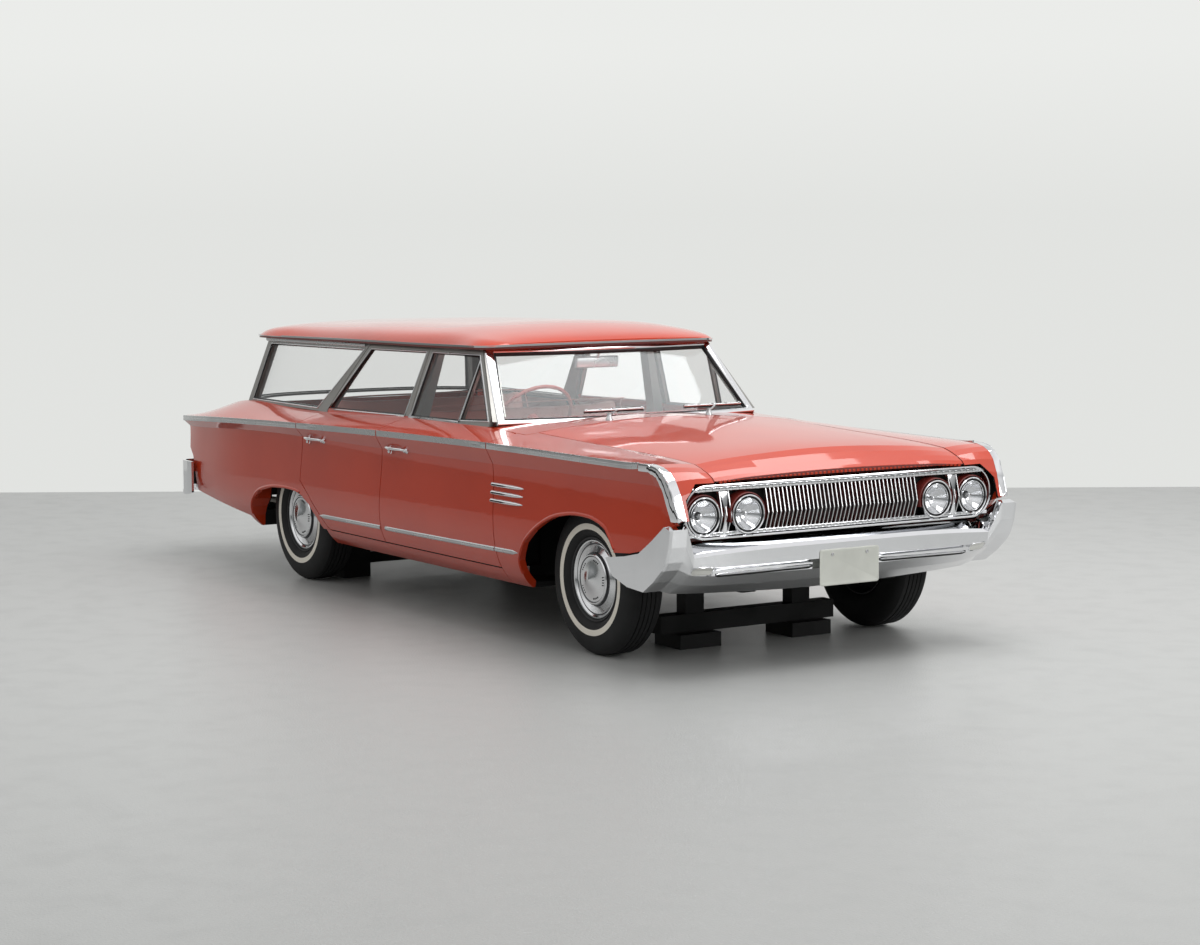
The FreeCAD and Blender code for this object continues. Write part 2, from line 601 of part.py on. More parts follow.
def bothSides(centreParts, sideParts):
    return fused(*(centreParts + sideParts + [mirrored(part) for part in sideParts]))


underbody = bothSides([floorPan, riser, tunnelOuter], [rocker, frontEye, outrigger]).cut(tunnelInner)
save("underbody", underbody)
save("cargo_floor", bothSides([wellFloor, rearFloor, tailPanel], [house, rearRail, rearShackle, gateLeaf]))
save("front_frame", bothSides([support], [frontRail, apron, apronTop, wingRiser, hoodStop]))
centrePost = fused(*([postFoot, postHead] + postLeaves))
save("centre_posts", both(centrePost))

# Engine as one block, with gearbox
engineOutline = [(-110.0, 300.3), (110.0, 300.3), (190.0, 430.0), (165.0, 760.0), (-165.0, 760.0), (-190.0, 430.0)]
engine = prismX(engineOutline, 1240.0, 1900.0)
gearbox = rod((600.0, 0.0, 300.0), (1260.0, 0.0, 330.0), 52.0)
engine = fused(engine, gearbox)
save("engine", engine)
radiator = box(supportX - 30.0, supportX - runningGap, -320.0, 320.0, 350.0, 745.0)
save("radiator", radiator)

# Front suspension
crossmember = box(frontAxleX - 60.0, frontAxleX + 60.0, -railOuterY, railOuterY, crossmemberZ, 300.0 - runningGap)
armTip = kingpinY - kingpinRadius - runningGap
lowerArm = rod((frontAxleX, railOuterY - 20.0, 262.0), (frontAxleX, armTip, 262.0), 14.0)
upperArm = rod((frontAxleX, railOuterY + runningGap, 480.0), (frontAxleX, armTip, 480.0), 12.0)
frontSuspension = fused(crossmember, lowerArm, mirrored(lowerArm))
save("front_suspension", Part.makeCompound([frontSuspension, upperArm, mirrored(upperArm)]))

# Rear axle with differential, leaf springs and drive shaft
axleTube = rod((rearAxleX, -600.0, axleZ), (rearAxleX, 600.0, axleZ), 38.0)
differential = Part.makeSphere(118.0, V(rearAxleX, 0.0, axleZ))
shaft = rod((rearAxleX + 90.0, 0.0, axleZ), (595.0, 0.0, 300.0), 32.0)
springCurve = [(-1785.0, 352.0), (-1650.0, 300.0), (-1380.0, 272.0), (rearAxleX, 262.0), (-850.0, 272.0),
               (-720.0, 292.0), (-662.0, 305.0)]
springOutline = springCurve + [(x, z + 22.0) for x, z in springCurve[::-1]]
spring = prismY(springOutline, springY - springWidth / 2.0, springY + springWidth / 2.0)
spring = spring.cut(box(-1771.0, -1700.0, 480.0, 560.0, 349.0, 440.0)).cut(box(-1810.0, -1769.7, 480.0, 560.0, 349.7, 440.0))
stub = rod((rearAxleX, 590.0, axleZ), (rearAxleX, wheelY + 20.0, axleZ), spindleRadius)
rearAxle = fused(axleTube, differential, shaft, spring, mirrored(spring), stub, mirrored(stub))
save("rear_axle", rearAxle)
print("axle solids", len(rearAxle.Solids))

# Knuckles
knucklePost = rod((frontAxleX, kingpinY, 240.0), (frontAxleX, kingpinY, 505.0), kingpinRadius)
spindle = rod((frontAxleX, kingpinY, axleZ), (frontAxleX, wheelY + 20.0, axleZ), spindleRadius)
knuckle = fused(knucklePost, spindle)
save("knuckle_left", knuckle)
save("knuckle_right", mirrored(knuckle))


def faceted(profile, sides, x, outboard):
    """Profile of radius and outboard offset, carried round a wheel's axle in flat facets."""
    rings = []
    for k in range(sides):
        angle = 2.0 * math.pi * k / sides
        rings.append([FreeCAD.Vector(r * math.cos(angle), outboard * o, r * math.sin(angle)) for r, o in profile])
    faces = []
    for k in range(sides):
        here, there = rings[k], rings[(k + 1) % sides]
        for j in range(len(profile)):
            following = (j + 1) % len(profile)
            corners = [here[j], here[following], there[following], there[j]]
            faces.append(Part.Face(Part.makePolygon(corners + [corners[0]])))
    solid = Part.Solid(Part.Shell(faces))
    solid.translate(V(x, outboard * wheelY, axleZ))
    return solid


def turned(profile, x, outboard):
    """Profile of radius and outboard offset, turned about a wheel's axle."""
    corners = [FreeCAD.Vector(r, offset, 0.0) for r, offset in profile]
    wire = Part.makePolygon(corners + [corners[0]])
    solid = Part.Face(wire).revolve(V(0, 0, 0), V(0, 1, 0), 360.0)
    if outboard < 0:
        solid = mirrored(solid)
    solid.translate(V(x, outboard * wheelY, axleZ))
    return solid


bore = spindleRadius + runningGap
bead = rimRadius + 1.0
tyreProfile = [(bead, -66.0), (rimRadius + 22.0, -84.0), (245.0, -tyreHalfWidth), (292.0, -84.0),
               (tyreRadius - 3.0, -treadHalfWidth - 4.0), (tyreRadius, -treadHalfWidth + 14.0),
               (tyreRadius, treadHalfWidth - 14.0), (tyreRadius - 3.0, treadHalfWidth + 4.0), (292.0, 84.0),
               (245.0, tyreHalfWidth), (rimRadius + 22.0, 84.0), (bead, 66.0)]
wheelProfile = [(rimRadius, -rimHalfWidth), (rimRadius, rimHalfWidth), (rimRadius - 6.0, rimHalfWidth), (rimRadius - 20.0, 26.0),
                (hubRadius, 20.0), (hubRadius, 44.0), (bore, 44.0), (bore, -82.0), (drumRadius, -82.0),
                (drumRadius, -82.0 + drumWidth), (rimRadius - 20.0, -10.0), (rimRadius - 6.0, -rimHalfWidth)]
coneTip = coverRimOut + coverConeOut
coverProfile = [(0.0, coneTip - 8.0), (0.0, coneTip), (16.0, coneTip), (coverRingRadius - 8.0, coverRimOut + 10.0),
                (coverRingRadius, coverRimOut - 4.0), (coverRadius - 16.0, coverRimOut - 8.0),
                (coverRadius - 4.0, coverRimOut), (coverRadius - 0.4, coverRimOut - 4.0),
                (coverRadius - 16.0, 48.0), (coverRingRadius, 50.0), (16.0, coneTip - 8.0)]
for place, x, side in (("front_left", frontAxleX, 1), ("front_right", frontAxleX, -1),
                       ("rear_left", rearAxleX, 1), ("rear_right", rearAxleX, -1)):
    save("tyre_" + place, faceted(tyreProfile, tyreFacets, x, side))
    save("wheel_" + place, turned(wheelProfile, x, side))
    save("cover_" + place, turned(coverProfile, x, side))

# Front bumper: a pressed bar that sweeps up into a horn at each end, with a wing along the side.
# Each section is given at a distance from the middle: shelf, crest, face, recess, lower lip, then back inside.
barSections = [
    (0.0, [(2338, 545), (2412, 521), (2424, 505), (2424, 445), (2402, 430), (2400, 402), (2330, 350), (2235, 300)]),
    (150.0, [(2338, 545), (2412, 521), (2424, 505), (2424, 445), (2402, 430), (2400, 402), (2330, 351), (2235, 301)]),
    (400.0, [(2338, 545), (2411, 520), (2423, 504), (2423, 445), (2401, 430), (2398, 404), (2330, 355), (2235, 308)]),
    (650.0, [(2338, 543), (2408, 511), (2418, 496), (2415, 445), (2396, 432), (2390, 408), (2326, 362), (2235, 319)]),
    (760.0, [(2340, 540), (2400, 503), (2409, 490), (2402, 450), (2386, 437), (2372, 418), (2310, 372), (2234, 327)]),
]
hornSection = [(2330, 574), (2402, 622), (2436, 612), (2426, 540), (2402, 478), (2375, 443), (2312, 390), (2236, 342)]
hornTip = [(2330, 572), (2400, 618), (2433, 608), (2421, 538), (2398, 477), (2371, 443), (2309, 390), (2238, 344)]


def pressedWire(outside, y):
    """Outer line of a pressed bar, closed behind by the same line set back by the metal."""
    inside = [(x - 17.0, z - 3.0) for x, z in outside[3:-1]]
    inside = [(outside[0][0] + 4.0, outside[0][1] - 20.0), (outside[2][0] - 24.0, outside[2][1] - 14.0)] + inside
    inside = inside + [(outside[-1][0] - 4.0, outside[-1][1] + 14.0)]
    return polygon([(x, y, z) for x, z in outside + inside[::-1]])


barWires = [pressedWire(line, -y) for y, line in barSections[:0:-1]] + [pressedWire(line, y) for y, line in barSections]
bar = Part.makeLoft(barWires, True, False)
hornEndY = 893.0
endWires = [pressedWire(barSections[-1][1], 760.0), pressedWire(hornSection, 811.0), pressedWire(hornSection, 880.0)]
barEnd = Part.makeLoft(endWires + [pressedWire(hornTip, hornEndY)], True, True)
wingOutline = [(1959.0, 455.0), (2012.0, 385.0), (2120.0, 352.0), (2238.0, 344.0), (2309.0, 390.0), (2371.0, 443.0),
               (2398.0, 477.0), (2420.0, 538.0), (2432.0, 608.0), (2400.0, 618.0), (2392.0, 622.0), (2300.0, 556.0),
               (2205.0, 496.0), (2100.0, 474.0)]
wing = prismY(wingOutline, 868.0, hornEndY)
bracket = box(bumperBackX + runningGap, 2325.0, railInnerY, railOuterY, 352.0, 380.0)
endParts = [barEnd, wing, bracket]
frontBumper = fused(*([bar] + endParts + [mirrored(part) for part in endParts]))
print("front bumper solids", len(frontBumper.Solids), frontBumper.isValid())
plateFaceX = 2424.0
for y in (-plateSpacing / 2.0, plateSpacing / 2.0):
    plateHole = rod((plateFaceX - 60.0, y, plateHoleZ), (plateFaceX + 10.0, y, plateHoleZ), plateHoleRadius)
    frontBumper = frontBumper.cut(plateHole)
save("front_bumper", frontBumper)

# Rear bumper wrapping round the corners: depths ahead of the tail
outerPlan = [(0.0, -660.0), (3.0, -740.0), (10.0, -800.0), (24.0, -846.0), (48.0, -873.0), (91.0, -887.0),
             (156.0, -892.0), (214.0, -893.0)]
innerPlan = [(214.0, -880.0), (96.0, -873.0), (61.0, -858.0), (46.0, -836.0), (rearBumperDepth, -780.0)]
plan = [(tailX + depth, y) for depth, y in outerPlan + innerPlan]
plan = plan + [(x, -y) for x, y in plan[::-1]]
barRear = prismZ(plan, 335.0, 520.0)
endProfile = [(0.0, 504.0), (5.0, 514.0), (15.0, 520.0), (214.0, 520.0), (214.0, 352.0), (136.0, 335.0), (60.0, 335.0),
              (36.0, 352.0), (19.0, 402.0), (5.0, 424.0), (0.0, 440.0)]
endOutline = [(tailX + depth, z) for depth, z in endProfile]
rearBumper = barRear.common(prismY(endOutline, -1000.0, 1000.0))
for y in (-plateSpacing / 2.0, plateSpacing / 2.0):
    rearBumper = rearBumper.cut(rod((tailX - 5.0, y, plateHoleZ), (rearBumperBackX + 40.0, y, plateHoleZ), plateHoleRadius))
save("rear_bumper", rearBumper)

# Grille: rails and chevron slats
grilleFrame = roundedPlate(grilleHalf - 4.0, grilleBottomZ, grilleTopZ - 6.0, grilleCorner, nosePanelX + runningGap, 2380.0)
frameHole = roundedPlate(grilleHalf - 14.0, grilleBottomZ + 10.0, grilleTopZ - 16.0, grilleCorner - 10.0, 2300.0, 2390.0)
grilleFrame = grilleFrame.cut(frameHole)
slatOutline = [(2352.0, grilleBottomZ + 8.0), (2364.0, grilleBottomZ + 8.0), (2392.0, lampZ - 3.0), (2392.0, lampZ + 3.0),
               (2364.0, grilleTopZ - 12.0), (2352.0, grilleTopZ - 12.0), (2376.0, lampZ)]
slatSpan = 2.0 * (lampInnerY - bezelRadius - 14.0)
slats = []
slatPlaces = [-slatSpan / 2.0 + slatSpan * i / (slatCount - 1) for i in range(slatCount)]
pairMiddle = (lampOuterY + lampInnerY) / 2.0
slatPlaces = slatPlaces + [side * (pairMiddle + shift) for side in (-1, 1) for shift in (-14.0, 0.0, 14.0)]
for y in slatPlaces:
    slats.append(prismY(slatOutline, y - slatWidth / 2.0, y + slatWidth / 2.0))
grille = fused(*([grilleFrame] + slats))
save("grille", grille)

# Nose panel behind the grille with lamp seats
noseKeep = roundedPlate(grilleHalf + 20.0, grilleBottomZ - 12.0, grilleTopZ + 6.0, grilleCorner, nosePanelX - 12.0, nosePanelX)
nosePanel = noseKeep.common(innerBody).cut(box(2300.0, 2330.0, -300.0, 300.0, 540.0, 740.0))
noseBracket = box(supportX + 12.0 + runningGap, nosePanelX - 6.0, 300.0, 330.0, 560.0, 730.0)
nosePanel = fused(nosePanel, noseBracket, mirrored(noseBracket))
lampSolids = []
for y, faceX in ((lampOuterY, 2377.0), (lampInnerY, 2392.0), (-lampInnerY, 2392.0), (-lampOuterY, 2377.0)):
    nosePanel = nosePanel.cut(rod((2300.0, y, lampZ), (2330.0, y, lampZ), bezelRadius - 5.4))
    profile = [(2290.0, 0.0), (2290.0, 60.0), (2304.0, bezelRadius - 6.0), (faceX, bezelRadius - 4.3),
               (faceX + 8.0, bezelRadius - 8.0), (faceX + 2.0, lampRadius), (faceX + 9.0, lampRadius - 30.0), (faceX + 12.0, 0.0)]
    wire = polygon([(px, py, 0.0) for px, py in profile])
    lamp = Part.Face(wire).revolve(V(0, 0, 0), V(1, 0, 0), 360.0)
    lamp.translate(V(0.0, y, lampZ))
    lampSolids.append(lamp)
save("nose_panel", nosePanel)
save("headlamps", Part.makeCompound(lampSolids))
print("nose", len(nosePanel.Solids), "grille", len(grille.Solids))

# Fuel tank and exhaust
save("fuel_tank", box(-2150.0, -1650.0, -350.0, 350.0, 330.0, cargoFloorZ - runningGap))
pipeRoute = [(1500.0, -215.0, 262.0), (1350.0, -262.0, 238.0), (120.0, -300.0, 206.7), (-380.0, -300.0, 206.7),
             (-720.0, -300.0, 230.0), (-900.0, -300.0, 440.0), (-1330.0, -300.0, 440.0), (-1700.0, -410.0, 300.0),
             (-2210.0, -430.0, 285.0)]
pipeMouth = Part.Wire(Part.makeCircle(20.0, V(*pipeRoute[0]), V(*pipeRoute[1]) - V(*pipeRoute[0])))
pipeLine = Part.makePolygon([V(*point) for point in pipeRoute])
pipe = pipeLine.makePipeShell([pipeMouth], True, False, 1)
muffler = rod((80.0, -300.0, 206.7), (-360.0, -300.0, 206.7), 55.0)
exhaust = pipe.fuse(muffler)
print("exhaust solids", len(exhaust.Solids), exhaust.isValid())
save("exhaust", exhaust)

# Dash with steering column, steering wheel
lean = math.radians(steerLean)
steerAxis = V(math.cos(lean), 0.0, -math.sin(lean))
steerCentre = V(steerX, steerY, steerZ)
columnStart = steerCentre + steerAxis * 40.0
firewallX = 1000.0
columnReach = (firewallX - runningGap - steerX) / math.cos(lean) - columnRadius * math.tan(lean)
columnEnd = steerCentre + steerAxis * columnReach
column = Part.makeCylinder(columnRadius, (columnEnd - columnStart).Length, columnStart, steerAxis)
dashOutline = [(596.0, 900.0), (640.0, 918.0), (780.0, 905.0), (830.0, 870.0), (830.0, 760.0), (650.0, 700.0), (590.0, 760.0)]
dashBody = prismY(dashOutline, -690.0, 690.0).common(greenhouse(48.0, 600.0, 1000.0))
dash = fused(dashBody, column)
save("dash", dash)
ring = Part.makeTorus(steerRim, steerTube, steerCentre, steerAxis)
hub = Part.makeCylinder(34.0, 49.7, steerCentre + steerAxis * (-10.0), steerAxis)
spoke = Part.makeCylinder(8.0, 2.0 * steerRim, steerCentre + V(0.0, -steerRim, 0.0), V(0, 1, 0))
save("steering_wheel", fused(ring, hub, spoke))

# Seats
frontSeatOutline = [(-240.0, 405.0), (375.0, 405.0), (398.0, 530.0), (360.0, 580.0), (-95.0, 548.0), (-205.0, 925.0),
                    (-250.0, 948.0), (-300.0, 935.0), (-335.0, 880.0)]
seatBase = box(-200.0, 320.0, 200.0, 520.0, floorZ + floorWall + runningGap, 410.0)
frontSeat = fused(prismY(frontSeatOutline, -600.0, 600.0), seatBase, mirrored(seatBase))
save("front_seat", frontSeat)
seatLow = cargoFloorZ + floorWall + runningGap
rearSeatOutline = [(-1130.0, seatLow), (-600.0, seatLow), (-585.0, 575.0), (-620.0, 620.0), (-1010.0, 600.0),
                   (-1110.0, 925.0), (-1150.0, 945.0), (-1190.0, 935.0), (-1200.0, 890.0)]
save("rear_seat", prismY(rearSeatOutline, -574.0, 574.0))

# Wipers
wiperSolids = []
for y in (-272.0, 272.0):
    post = rod((1021.0, y, 880.0), (1021.0, y, 948.0), 9.0).cut(outerBody)
    arm = rod((1021.0, y, 944.0), (905.0, y + 120.0, 962.0), 4.0)
    blade = rod((905.0, y - 60.0, 962.0), (905.0, y + 260.0, 962.0), 5.0)
    wiperSolids.append(fused(post, arm, blade))
save("wipers", Part.makeCompound(wiperSolids))

# Support stands under the axles
frontBeam = box(frontAxleX - 40.0, frontAxleX + 40.0, -460.0, 460.0, 62.0, 140.0)
frontFoot = box(frontAxleX - 100.0, frontAxleX + 100.0, 190.0, 400.0, 0.0, 62.0)
frontPost = box(frontAxleX - 35.0, frontAxleX + 35.0, 235.0, 330.0, 140.0, crossmemberZ)
rearBeam = box(rearAxleX - 35.0, rearAxleX + 35.0, -440.0, 440.0, 60.0, 115.0)
rearFoot = box(rearAxleX - 100.0, rearAxleX + 100.0, 440.0, 590.0, 0.0, 156.0)
rearPost = box(rearAxleX - 30.0, rearAxleX + 30.0, springY - 40.0, springY + 40.0, 156.0, 261.7)
frontStand = fused(frontBeam, frontFoot, frontPost, mirrored(frontFoot), mirrored(frontPost))
rearStand = fused(rearBeam, rearFoot, rearPost, mirrored(rearFoot), mirrored(rearPost))
save("stands", Part.makeCompound([frontStand, rearStand]))
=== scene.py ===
import math

import bmesh
import bpy
from mathutils import Matrix, Vector
from mathutils.bvhtree import BVHTree


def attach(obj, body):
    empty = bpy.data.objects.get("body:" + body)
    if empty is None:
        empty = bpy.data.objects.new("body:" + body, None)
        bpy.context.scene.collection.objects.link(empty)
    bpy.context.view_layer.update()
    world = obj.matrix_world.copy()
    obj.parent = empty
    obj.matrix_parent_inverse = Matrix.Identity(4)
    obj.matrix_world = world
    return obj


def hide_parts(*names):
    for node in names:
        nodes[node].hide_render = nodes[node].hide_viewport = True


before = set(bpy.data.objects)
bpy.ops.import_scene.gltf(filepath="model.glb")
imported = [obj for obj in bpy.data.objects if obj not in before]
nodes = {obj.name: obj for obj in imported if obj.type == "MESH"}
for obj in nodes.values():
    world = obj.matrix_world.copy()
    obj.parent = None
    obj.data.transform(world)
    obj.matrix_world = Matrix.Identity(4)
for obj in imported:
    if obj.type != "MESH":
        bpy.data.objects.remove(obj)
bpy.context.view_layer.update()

scene = bpy.context.scene
print("scene: frame loaded")

# Everything is in metres: x forward, y to the car's left, z up.
def link(obj):
    scene.collection.objects.link(obj)
    return obj


# Turns a bmesh into a piece that rides on a body, with its hard edges kept
def finishMesh(bm, name, material, body, sharpAngle=35.0):
    bmesh.ops.recalc_face_normals(bm, faces=bm.faces)
    limit = math.radians(sharpAngle)
    for face in bm.faces:
        face.smooth = True
    for edge in bm.edges:
        if len(edge.link_faces) == 2:
            edge.smooth = edge.calc_face_angle(0.0) < limit
    mesh = bpy.data.meshes.new(name)
    bm.to_mesh(mesh)
    bm.free()
    obj = link(bpy.data.objects.new(name, mesh))
    materials = material if isinstance(material, (list, tuple)) else [material]
    for item in materials:
        mesh.materials.append(item)
    if body:
        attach(obj, body)
    return obj


# Quads between rows of points. Returns the rows of vertices.
def addGrid(bm, rows, closeRows=False, closeColumns=False):
    made = [[bm.verts.new(p) for p in row] for row in rows]
    rowCount = len(made)
    for i in range(rowCount if closeRows else rowCount - 1):
        a, b = made[i], made[(i + 1) % rowCount]
        count = len(a)
        for j in range(count if closeColumns else count - 1):
            bm.faces.new((a[j], a[(j + 1) % count], b[(j + 1) % count], b[j]))
    return made


# Closed sections along rows, with a cap on both ends
def addTube(bm, rows):
    made = addGrid(bm, rows, closeColumns=True)
    for ring in (made[0], made[-1]):
        bm.faces.new(ring)


# Even steps from one value to another, with both ends
def span(low, high, count):
    return [low + (high - low) * k / (count - 1.0) for k in range(count)]


# Outline with each of its edges cut into short steps
def cutEdges(corners, steps):
    points = []
    for (ax, az), (bx, bz) in zip(corners, corners[1:] + corners[:1]):
        points += [(ax + (bx - ax) * k / steps, az + (bz - az) * k / steps) for k in range(steps)]
    return points


# Ring of (y, z) between an ellipse and a rectangle. A lower power is squarer.
def roundedRing(count, power, halfY, halfZ):
    ring = []
    for k in range(count):
        a = 2.0 * math.pi * k / count
        c, s = math.cos(a), math.sin(a)
        ring.append((math.copysign(abs(c) ** power, c) * halfY, math.copysign(abs(s) ** power, s) * halfZ))
    return ring


# Catmull-Rom curve through the points
def smoothPath(points, steps):
    result = []
    count = len(points)
    for i in range(count - 1):
        p0 = Vector(points[max(i - 1, 0)])
        p1 = Vector(points[i])
        p2 = Vector(points[i + 1])
        p3 = Vector(points[min(i + 2, count - 1)])
        for k in range(steps):
            t = k / steps
            a = 2.0 * p1
            b = (p2 - p0) * t
            c = (2.0 * p0 - 5.0 * p1 + 4.0 * p2 - p3) * t * t
            d = (3.0 * p1 - p0 - 3.0 * p2 + p3) * t * t * t
            result.append(0.5 * (a + b + c + d))
    result.append(Vector(points[-1]))
    return result


def circleSection(radius, sides=12, squash=1.0):
    section = []
    for k in range(sides):
        angle = 2.0 * math.pi * k / sides
        section.append((radius * math.cos(angle), radius * squash * math.sin(angle)))
    return section


# Sweeps a closed section (sideways, upward) along a path
def addSweep(bm, path, section, up=(0, 0, 1), closed=False, scales=None):
    path = [Vector(p) for p in path]
    count = len(path)
    rows = []
    for i, point in enumerate(path):
        before = path[i - 1] if (i > 0 or closed) else path[i]
        after = path[(i + 1) % count] if (i < count - 1 or closed) else path[i]
        tangent = (after - before).normalized()
        side = Vector(up).cross(tangent)
        if side.length < 1e-6:
            side = Vector((0, 1, 0)).cross(tangent)
        side.normalize()
        top = tangent.cross(side).normalized()
        scale = scales[i] if scales else 1.0
        rows.append([point + side * (s * scale) + top * (t * scale) for s, t in section])
    if closed:
        addGrid(bm, rows, closeRows=True, closeColumns=True)
    else:
        addTube(bm, rows)


def sweepPiece(name, path, section, material, body):
    bm = bmesh.new()
    addSweep(bm, path, section)
    finishMesh(bm, name, material, body)


# Turns a profile of (radius, offset) about an axis through a centre
def addLathe(bm, profile, centre, axis, segments):
    axis = Vector(axis).normalized()
    helper = Vector((0, 0, 1)) if abs(axis.z) < 0.9 else Vector((1, 0, 0))
    u = axis.cross(helper).normalized()
    v = axis.cross(u).normalized()
    centre = Vector(centre)
    rows = []
    for k in range(segments):
        angle = 2.0 * math.pi * k / segments
        out = u * math.cos(angle) + v * math.sin(angle)
        rows.append([centre + axis * offset + out * radius for radius, offset in profile])
    made = addGrid(bm, rows, closeRows=True)
    for end in (0, -1):
        if profile[end][0] > 1e-6:
            continue
        bmesh.ops.remove_doubles(bm, verts=[row[end] for row in made], dist=1e-7)
    return made


# Box between two corners, with rounded edges where bevel is given
def addBox(bm, low, high, bevel=0.0, matrix=None):
    low, high = Vector(low), Vector(high)
    part = bmesh.new()
    bmesh.ops.create_cube(part, size=1.0)
    size = high - low
    for vert in part.verts:
        vert.co = Vector((low.x + (vert.co.x + 0.5) * size.x, low.y + (vert.co.y + 0.5) * size.y,
                          low.z + (vert.co.z + 0.5) * size.z))
    if bevel > 0.0:
        bmesh.ops.bevel(part, geom=part.edges[:], offset=bevel, segments=3, profile=0.5, affect="EDGES")
    if matrix is not None:
        bmesh.ops.transform(part, matrix=matrix, verts=part.verts[:])
    mesh = bpy.data.meshes.new("scratch")
    part.to_mesh(mesh)
    part.free()
    bm.from_mesh(mesh)
    bpy.data.meshes.remove(mesh)


def sided(points, side):
    return [(p[0], p[1] * side, p[2]) for p in points]


# Ray target made of the shown CAD surfaces
def treeOf(names):
    verts, faces = [], []
    for name in names:
        mesh = nodes[name].data
        base = len(verts)
        verts.extend(v.co.copy() for v in mesh.vertices)
        faces.extend([base + i for i in p.vertices] for p in mesh.polygons)
    return BVHTree.FromPolygons(verts, faces)


skinTree = treeOf(["door_front_left", "door_rear_left", "quarter_left", "fender_left", "hood", "cowl",
                   "tailgate"])
sideTree = treeOf(["door_front_left", "door_rear_left", "pillars"])


def strike(tree, origin, direction):
    hit = tree.ray_cast(Vector(origin), Vector(direction).normalized())
    return hit[0]


# How far out the body side is. A ray that falls into a shut line tries its neighbours.
def skinY(x, z):
    best = 0.0
    for dx, dz in ((0.0, 0.0), (0.006, 0.0), (-0.006, 0.0), (0.0, 0.006), (0.0, -0.006)):
        hit = strike(skinTree, (x + dx, 1.3, z + dz), (0, -1, 0))
        if hit and hit.y > 0.78:
            return hit.y
        if hit:
            best = max(best, hit.y)
    return best


def skinZ(x, y):
    hit = strike(skinTree, (x, y, 1.6), (0, 0, -1))
    return hit.z if hit else None


def newMaterial(name):
    mat = bpy.data.materials.new(name)
    mat.use_nodes = True
    return mat, mat.node_tree, mat.node_tree.nodes["Principled BSDF"]


# Sets the inputs of a node: sockets are linked, plain values are set
def feed(tree, node, values):
    for key, value in values.items():
        socket = node.inputs[key]
        if isinstance(value, bpy.types.NodeSocket):
            tree.links.new(value, socket)
        else:
            socket.default_value = (*value, 1.0) if socket.type == "RGBA" else value
    return node


def addNode(tree, kind, values):
    return feed(tree, tree.nodes.new("ShaderNode" + kind), values)


# Shader group: soft noise in object space, between 0 and 1
def groupNoiseMask(name, scale, detail, low, high):
    group = bpy.data.node_groups.new(name, "ShaderNodeTree")
    group.interface.new_socket("Scale", in_out="INPUT", socket_type="NodeSocketFloat").default_value = scale
    group.interface.new_socket("Mask", in_out="OUTPUT", socket_type="NodeSocketFloat")
    size = group.nodes.new("NodeGroupInput").outputs["Scale"]
    coord = group.nodes.new("ShaderNodeTexCoord").outputs["Object"]
    noise = addNode(group, "TexNoise", {"Vector": coord, "Scale": size, "Detail": detail})
    ramp = addNode(group, "MapRange", {"Value": noise.outputs["Fac"], "From Min": low, "From Max": high})
    feed(group, group.nodes.new("NodeGroupOutput"), {"Mask": ramp.outputs["Result"]})
    return group


smudgeGroup = groupNoiseMask("SmudgeMask", 6.0, 4.0, 0.45, 0.75)
grainGroup = groupNoiseMask("GrainMask", 420.0, 2.0, 0.3, 0.7)


def addGroup(tree, group, scale=None):
    node = tree.nodes.new("ShaderNodeGroup")
    node.node_tree = group
    if scale is not None:
        node.inputs["Scale"].default_value = scale
    return node.outputs["Mask"]


def mixColor(tree, fac, a, b):
    node = tree.nodes.new("ShaderNodeMix")
    node.data_type = "RGBA"
    return feed(tree, node, {0: fac, 6: a, 7: b}).outputs[2]


def mapTo(tree, value, low, high):
    return addNode(tree, "MapRange", {"Value": value, "To Min": low, "To Max": high}).outputs["Result"]


def addBump(tree, shader, height, strength, distance):
    bump = addNode(tree, "Bump", {"Strength": strength, "Distance": distance, "Height": height})
    tree.links.new(bump.outputs["Normal"], shader.inputs["Normal"])


# Plain finish with a soft smudge in its colour and gloss
def surface(name, color, rough, metallic=0.0, coat=0.0, mottled=0.12, grain=0.0, grainScale=420.0, darker=0.85,
            coatRough=0.03, specular=0.5):
    mat, tree, shader = newMaterial(name)
    mask = addGroup(tree, smudgeGroup)
    dark = tuple(c * darker for c in color)
    feed(tree, shader, {
        "Base Color": mixColor(tree, mask, color, dark), "Roughness": mapTo(tree, mask, rough, rough + mottled),
        "Metallic": metallic, "Coat Weight": coat, "Coat Roughness": coatRough, "Specular IOR Level": specular})
    if grain > 0.0:
        addBump(tree, shader, addGroup(tree, grainGroup, grainScale), 1.0, grain)
    return mat


def calc(tree, value, operation, other=0.0):
    node = tree.nodes.new("ShaderNodeMath")
    node.operation = operation
    return feed(tree, node, {0: value, 1: other}).outputs[0]


look = {
    "paint": (0.47, 0.038, 0.010),
    "paintShade": (0.42, 0.032, 0.008),
    "frameGrey": (0.29, 0.285, 0.27),
    "underside": (0.012, 0.012, 0.012),
    "rough": 0.3,
    "coat": 0.7,
    "coatRough": 0.04,
    "specular": 0.15,
    "paintScale": 2.2,
}


# Coral enamel, with a second finish where a mask made from object coordinates is 1
def bodyMaterial(name, second=None, mask=None, secondRough=0.5, secondMetal=0.0):
    mat, tree, shader = newMaterial(name)
    mottling = addGroup(tree, smudgeGroup, look["paintScale"])
    color = mixColor(tree, mottling, look["paint"], look["paintShade"])
    feed(tree, shader, {"Base Color": color, "Roughness": look["rough"], "Coat Weight": look["coat"],
                        "Coat Roughness": look["coatRough"], "Specular IOR Level": look["specular"]})
    if second:
        fac = mask(tree)
        feed(tree, shader, {
            "Base Color": mixColor(tree, fac, color, second),
            "Coat Weight": calc(tree, 1.0, "SUBTRACT", fac),
            "Roughness": mapTo(tree, fac, look["rough"], secondRough),
            "Metallic": mapTo(tree, fac, 0.0, secondMetal)})
    return mat


